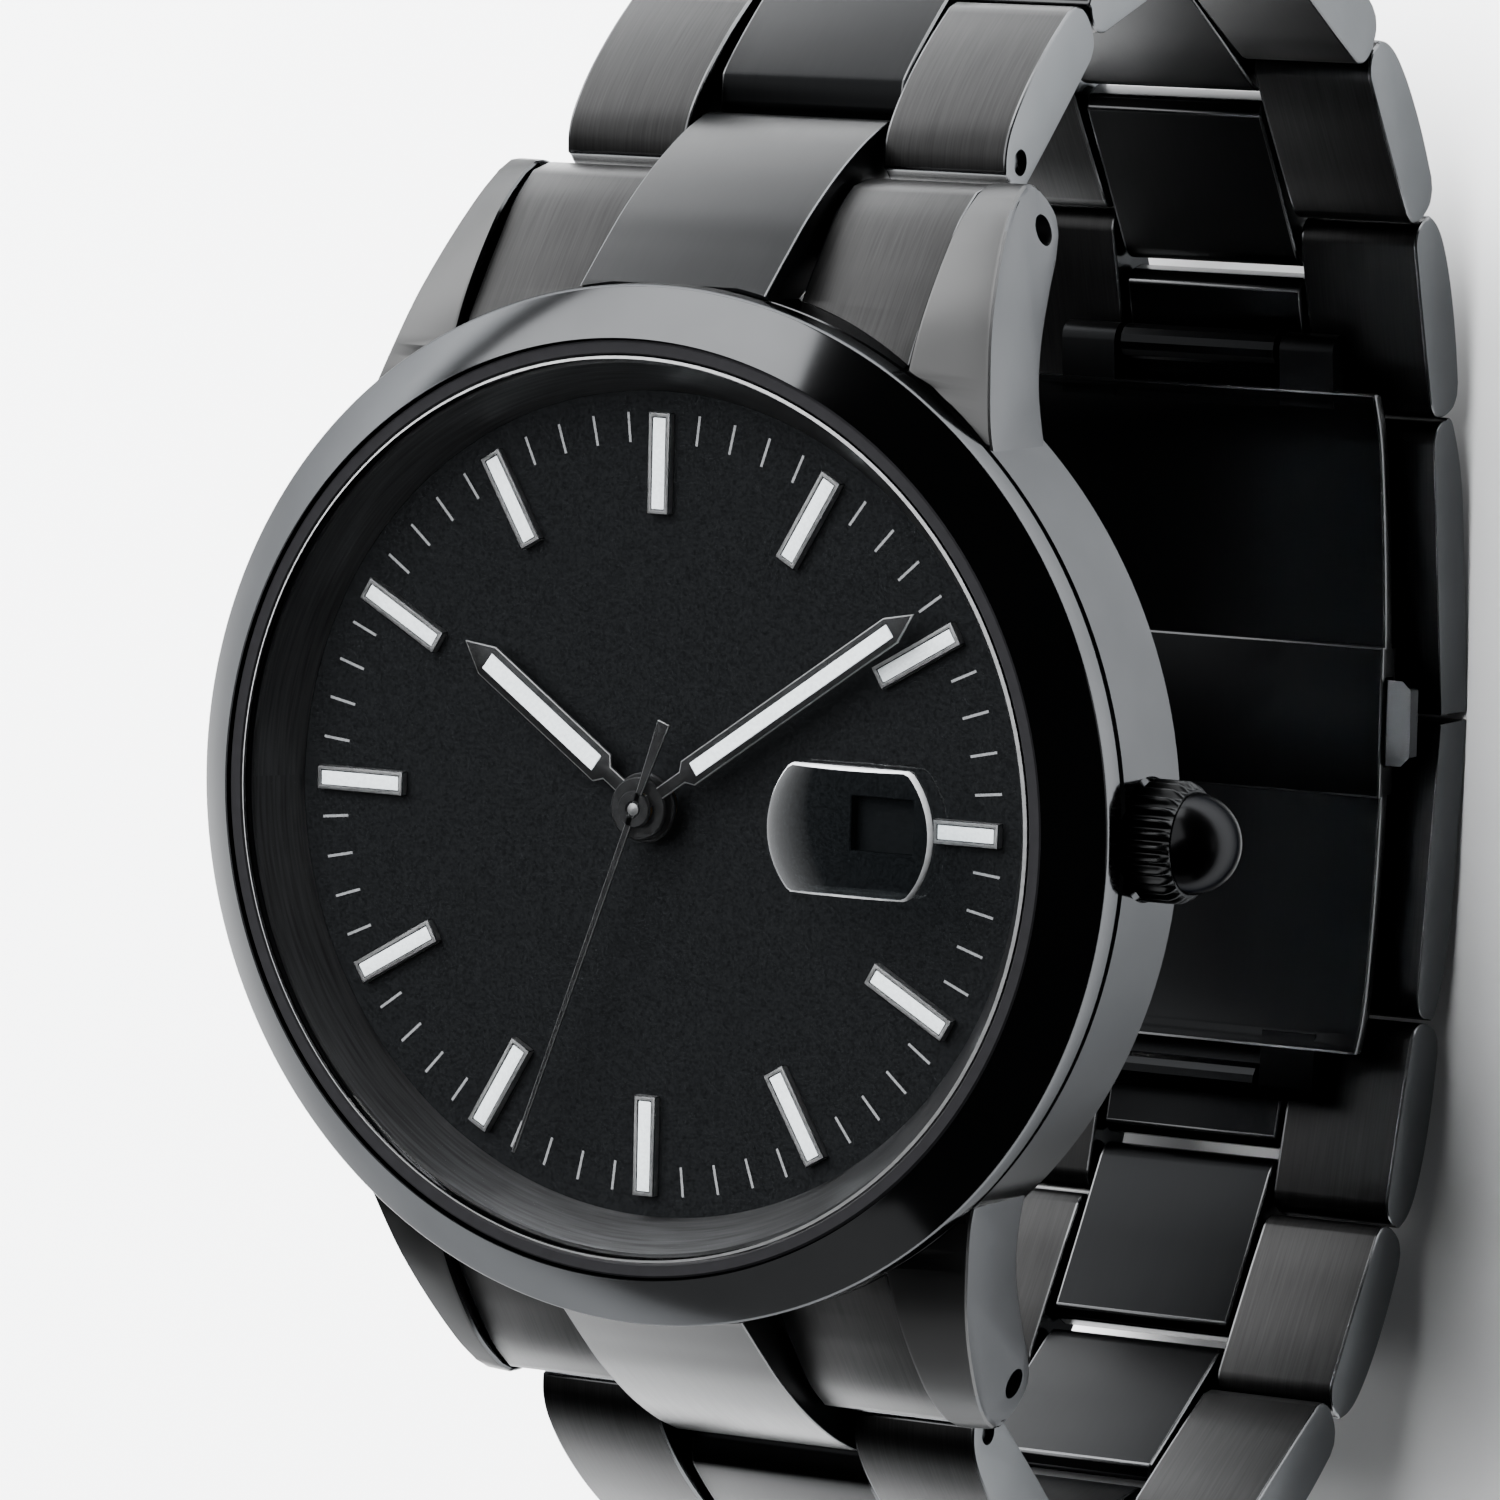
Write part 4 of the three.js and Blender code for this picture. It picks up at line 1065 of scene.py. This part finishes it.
def dress_movement():
    for node in ("barrel_bridge", "train_bridge", "balance_bridge", "rotor"):
        dress(node, STRIPES, 0.06)
    for node in ("main_plate", "mainspring_barrel"):
        dress(node, RHODIUM)
    for node in ("hour_wheel", "cannon_pinion", "fourth_wheel", "third_wheel", "balance_wheel"):
        dress(node, BRASS)
    for node in ("escape_wheel", "pallet_fork", "ratchet_wheel", "crown_wheel", "winding_pinion",
                 "winding_stem", "rotor_axle", "crown_tube", "spring_bar_12", "spring_bar_6",
                 "movement_holder"):
        dress(node, STEEL)
    dress("date_ring", DATE_BLACK)
    for node in ("case_back_gasket", "crown_gasket"):
        dress(node, RUBBER)


def add_clasp_base():
    """The wrist plate: a shallow curve with a button housing, and ears and a pin at each end."""
    pivot = joint_mm("clasp_base_hinge")
    base_low, base_high = box_mm("clasp_base")
    button_low, button_high = box_mm("clasp_button_right")
    half_width = base_high.x
    thickness = 0.7
    half = [(6, -37.25), (11.5, -36.55), (13.9, -35.7)]
    curve = smooth_line([*[(-y, z) for y, z in reversed(half)], (0, -37.55), *half], 6)
    upper = [(y, z + thickness / 2) for y, z in curve]
    lower = [(y, z - thickness / 2) for y, z in reversed(curve)]
    plate = soften(prism([*upper, *lower], -half_width, half_width), 0.12, 40, 2, 1)
    housing = brick((-half_width, -3.2, base_low.z), (half_width, 3.2, base_low.z + 1.3))
    ends = []
    for y in (pivot.y, -pivot.y):
        inner_y = math.copysign(13.2, y)
        outline = [(inner_y, -36.3), (inner_y, -35.55), (y, -35.35), (y, -36.8)]
        for low, high in ((-6.4, -3.9), (3.9, 6.4)):
            ends.append(prism(outline, low, high))
            ends.append(rod(0.75, low, high, y, pivot.z))
        ends.append(rod(0.32, -6.2, 6.2, y, pivot.z))
    gap = 0.05                   # between a button and its pocket
    pockets = []
    for low, high in ((-half_width - 0.6, -5.6), (5.6, half_width + 0.6)):
        pockets.append(brick((low, button_low.y - 2 * gap, button_low.z - gap),
                             (high, button_high.y + 2 * gap, button_high.z + gap)))
    whole = cut(joined(plate, soften(housing, 0.1, 40, 2, 1), *ends), *pockets)
    piece("clasp_base_plate", whole, "clasp_base", PVD_SATIN, PVD_EDGE, stands_for=["clasp_base"],
          smooth=30)


def dress_clasp():
    """The arms and the push buttons keep the shapes of the CAD."""
    for node in ("clasp_arm_12", "clasp_arm_6"):
        dress(node, PVD_SATIN, 0.1)
    for node in ("clasp_button_left", "clasp_button_right"):
        dress(node, PVD_POLISHED, 0.1)


add_studio()
add_case()
add_bezel()
add_crystal()
add_lens()
add_rehaut()
add_dial()
add_markers()
add_minute_track()
pointed_hand("hour_hand", "hour", HOUR_ANGLE, hub_r=1.35, neck=0.3, start=2.35, half=0.67, end=8.8,
             tip=10.05, lume_half=0.36)
pointed_hand("minute_hand", "minute", MINUTE_ANGLE, hub_r=1.2, neck=0.25, start=2.65, half=0.55,
             end=13.2, tip=14.4, lume_half=0.28)
add_seconds_hand()
add_crown()
for half in ("12", "6"):
    add_end_link(half)
    add_bracelet(half)
add_case_back()
dress_movement()
add_clasp_base()
dress_clasp()
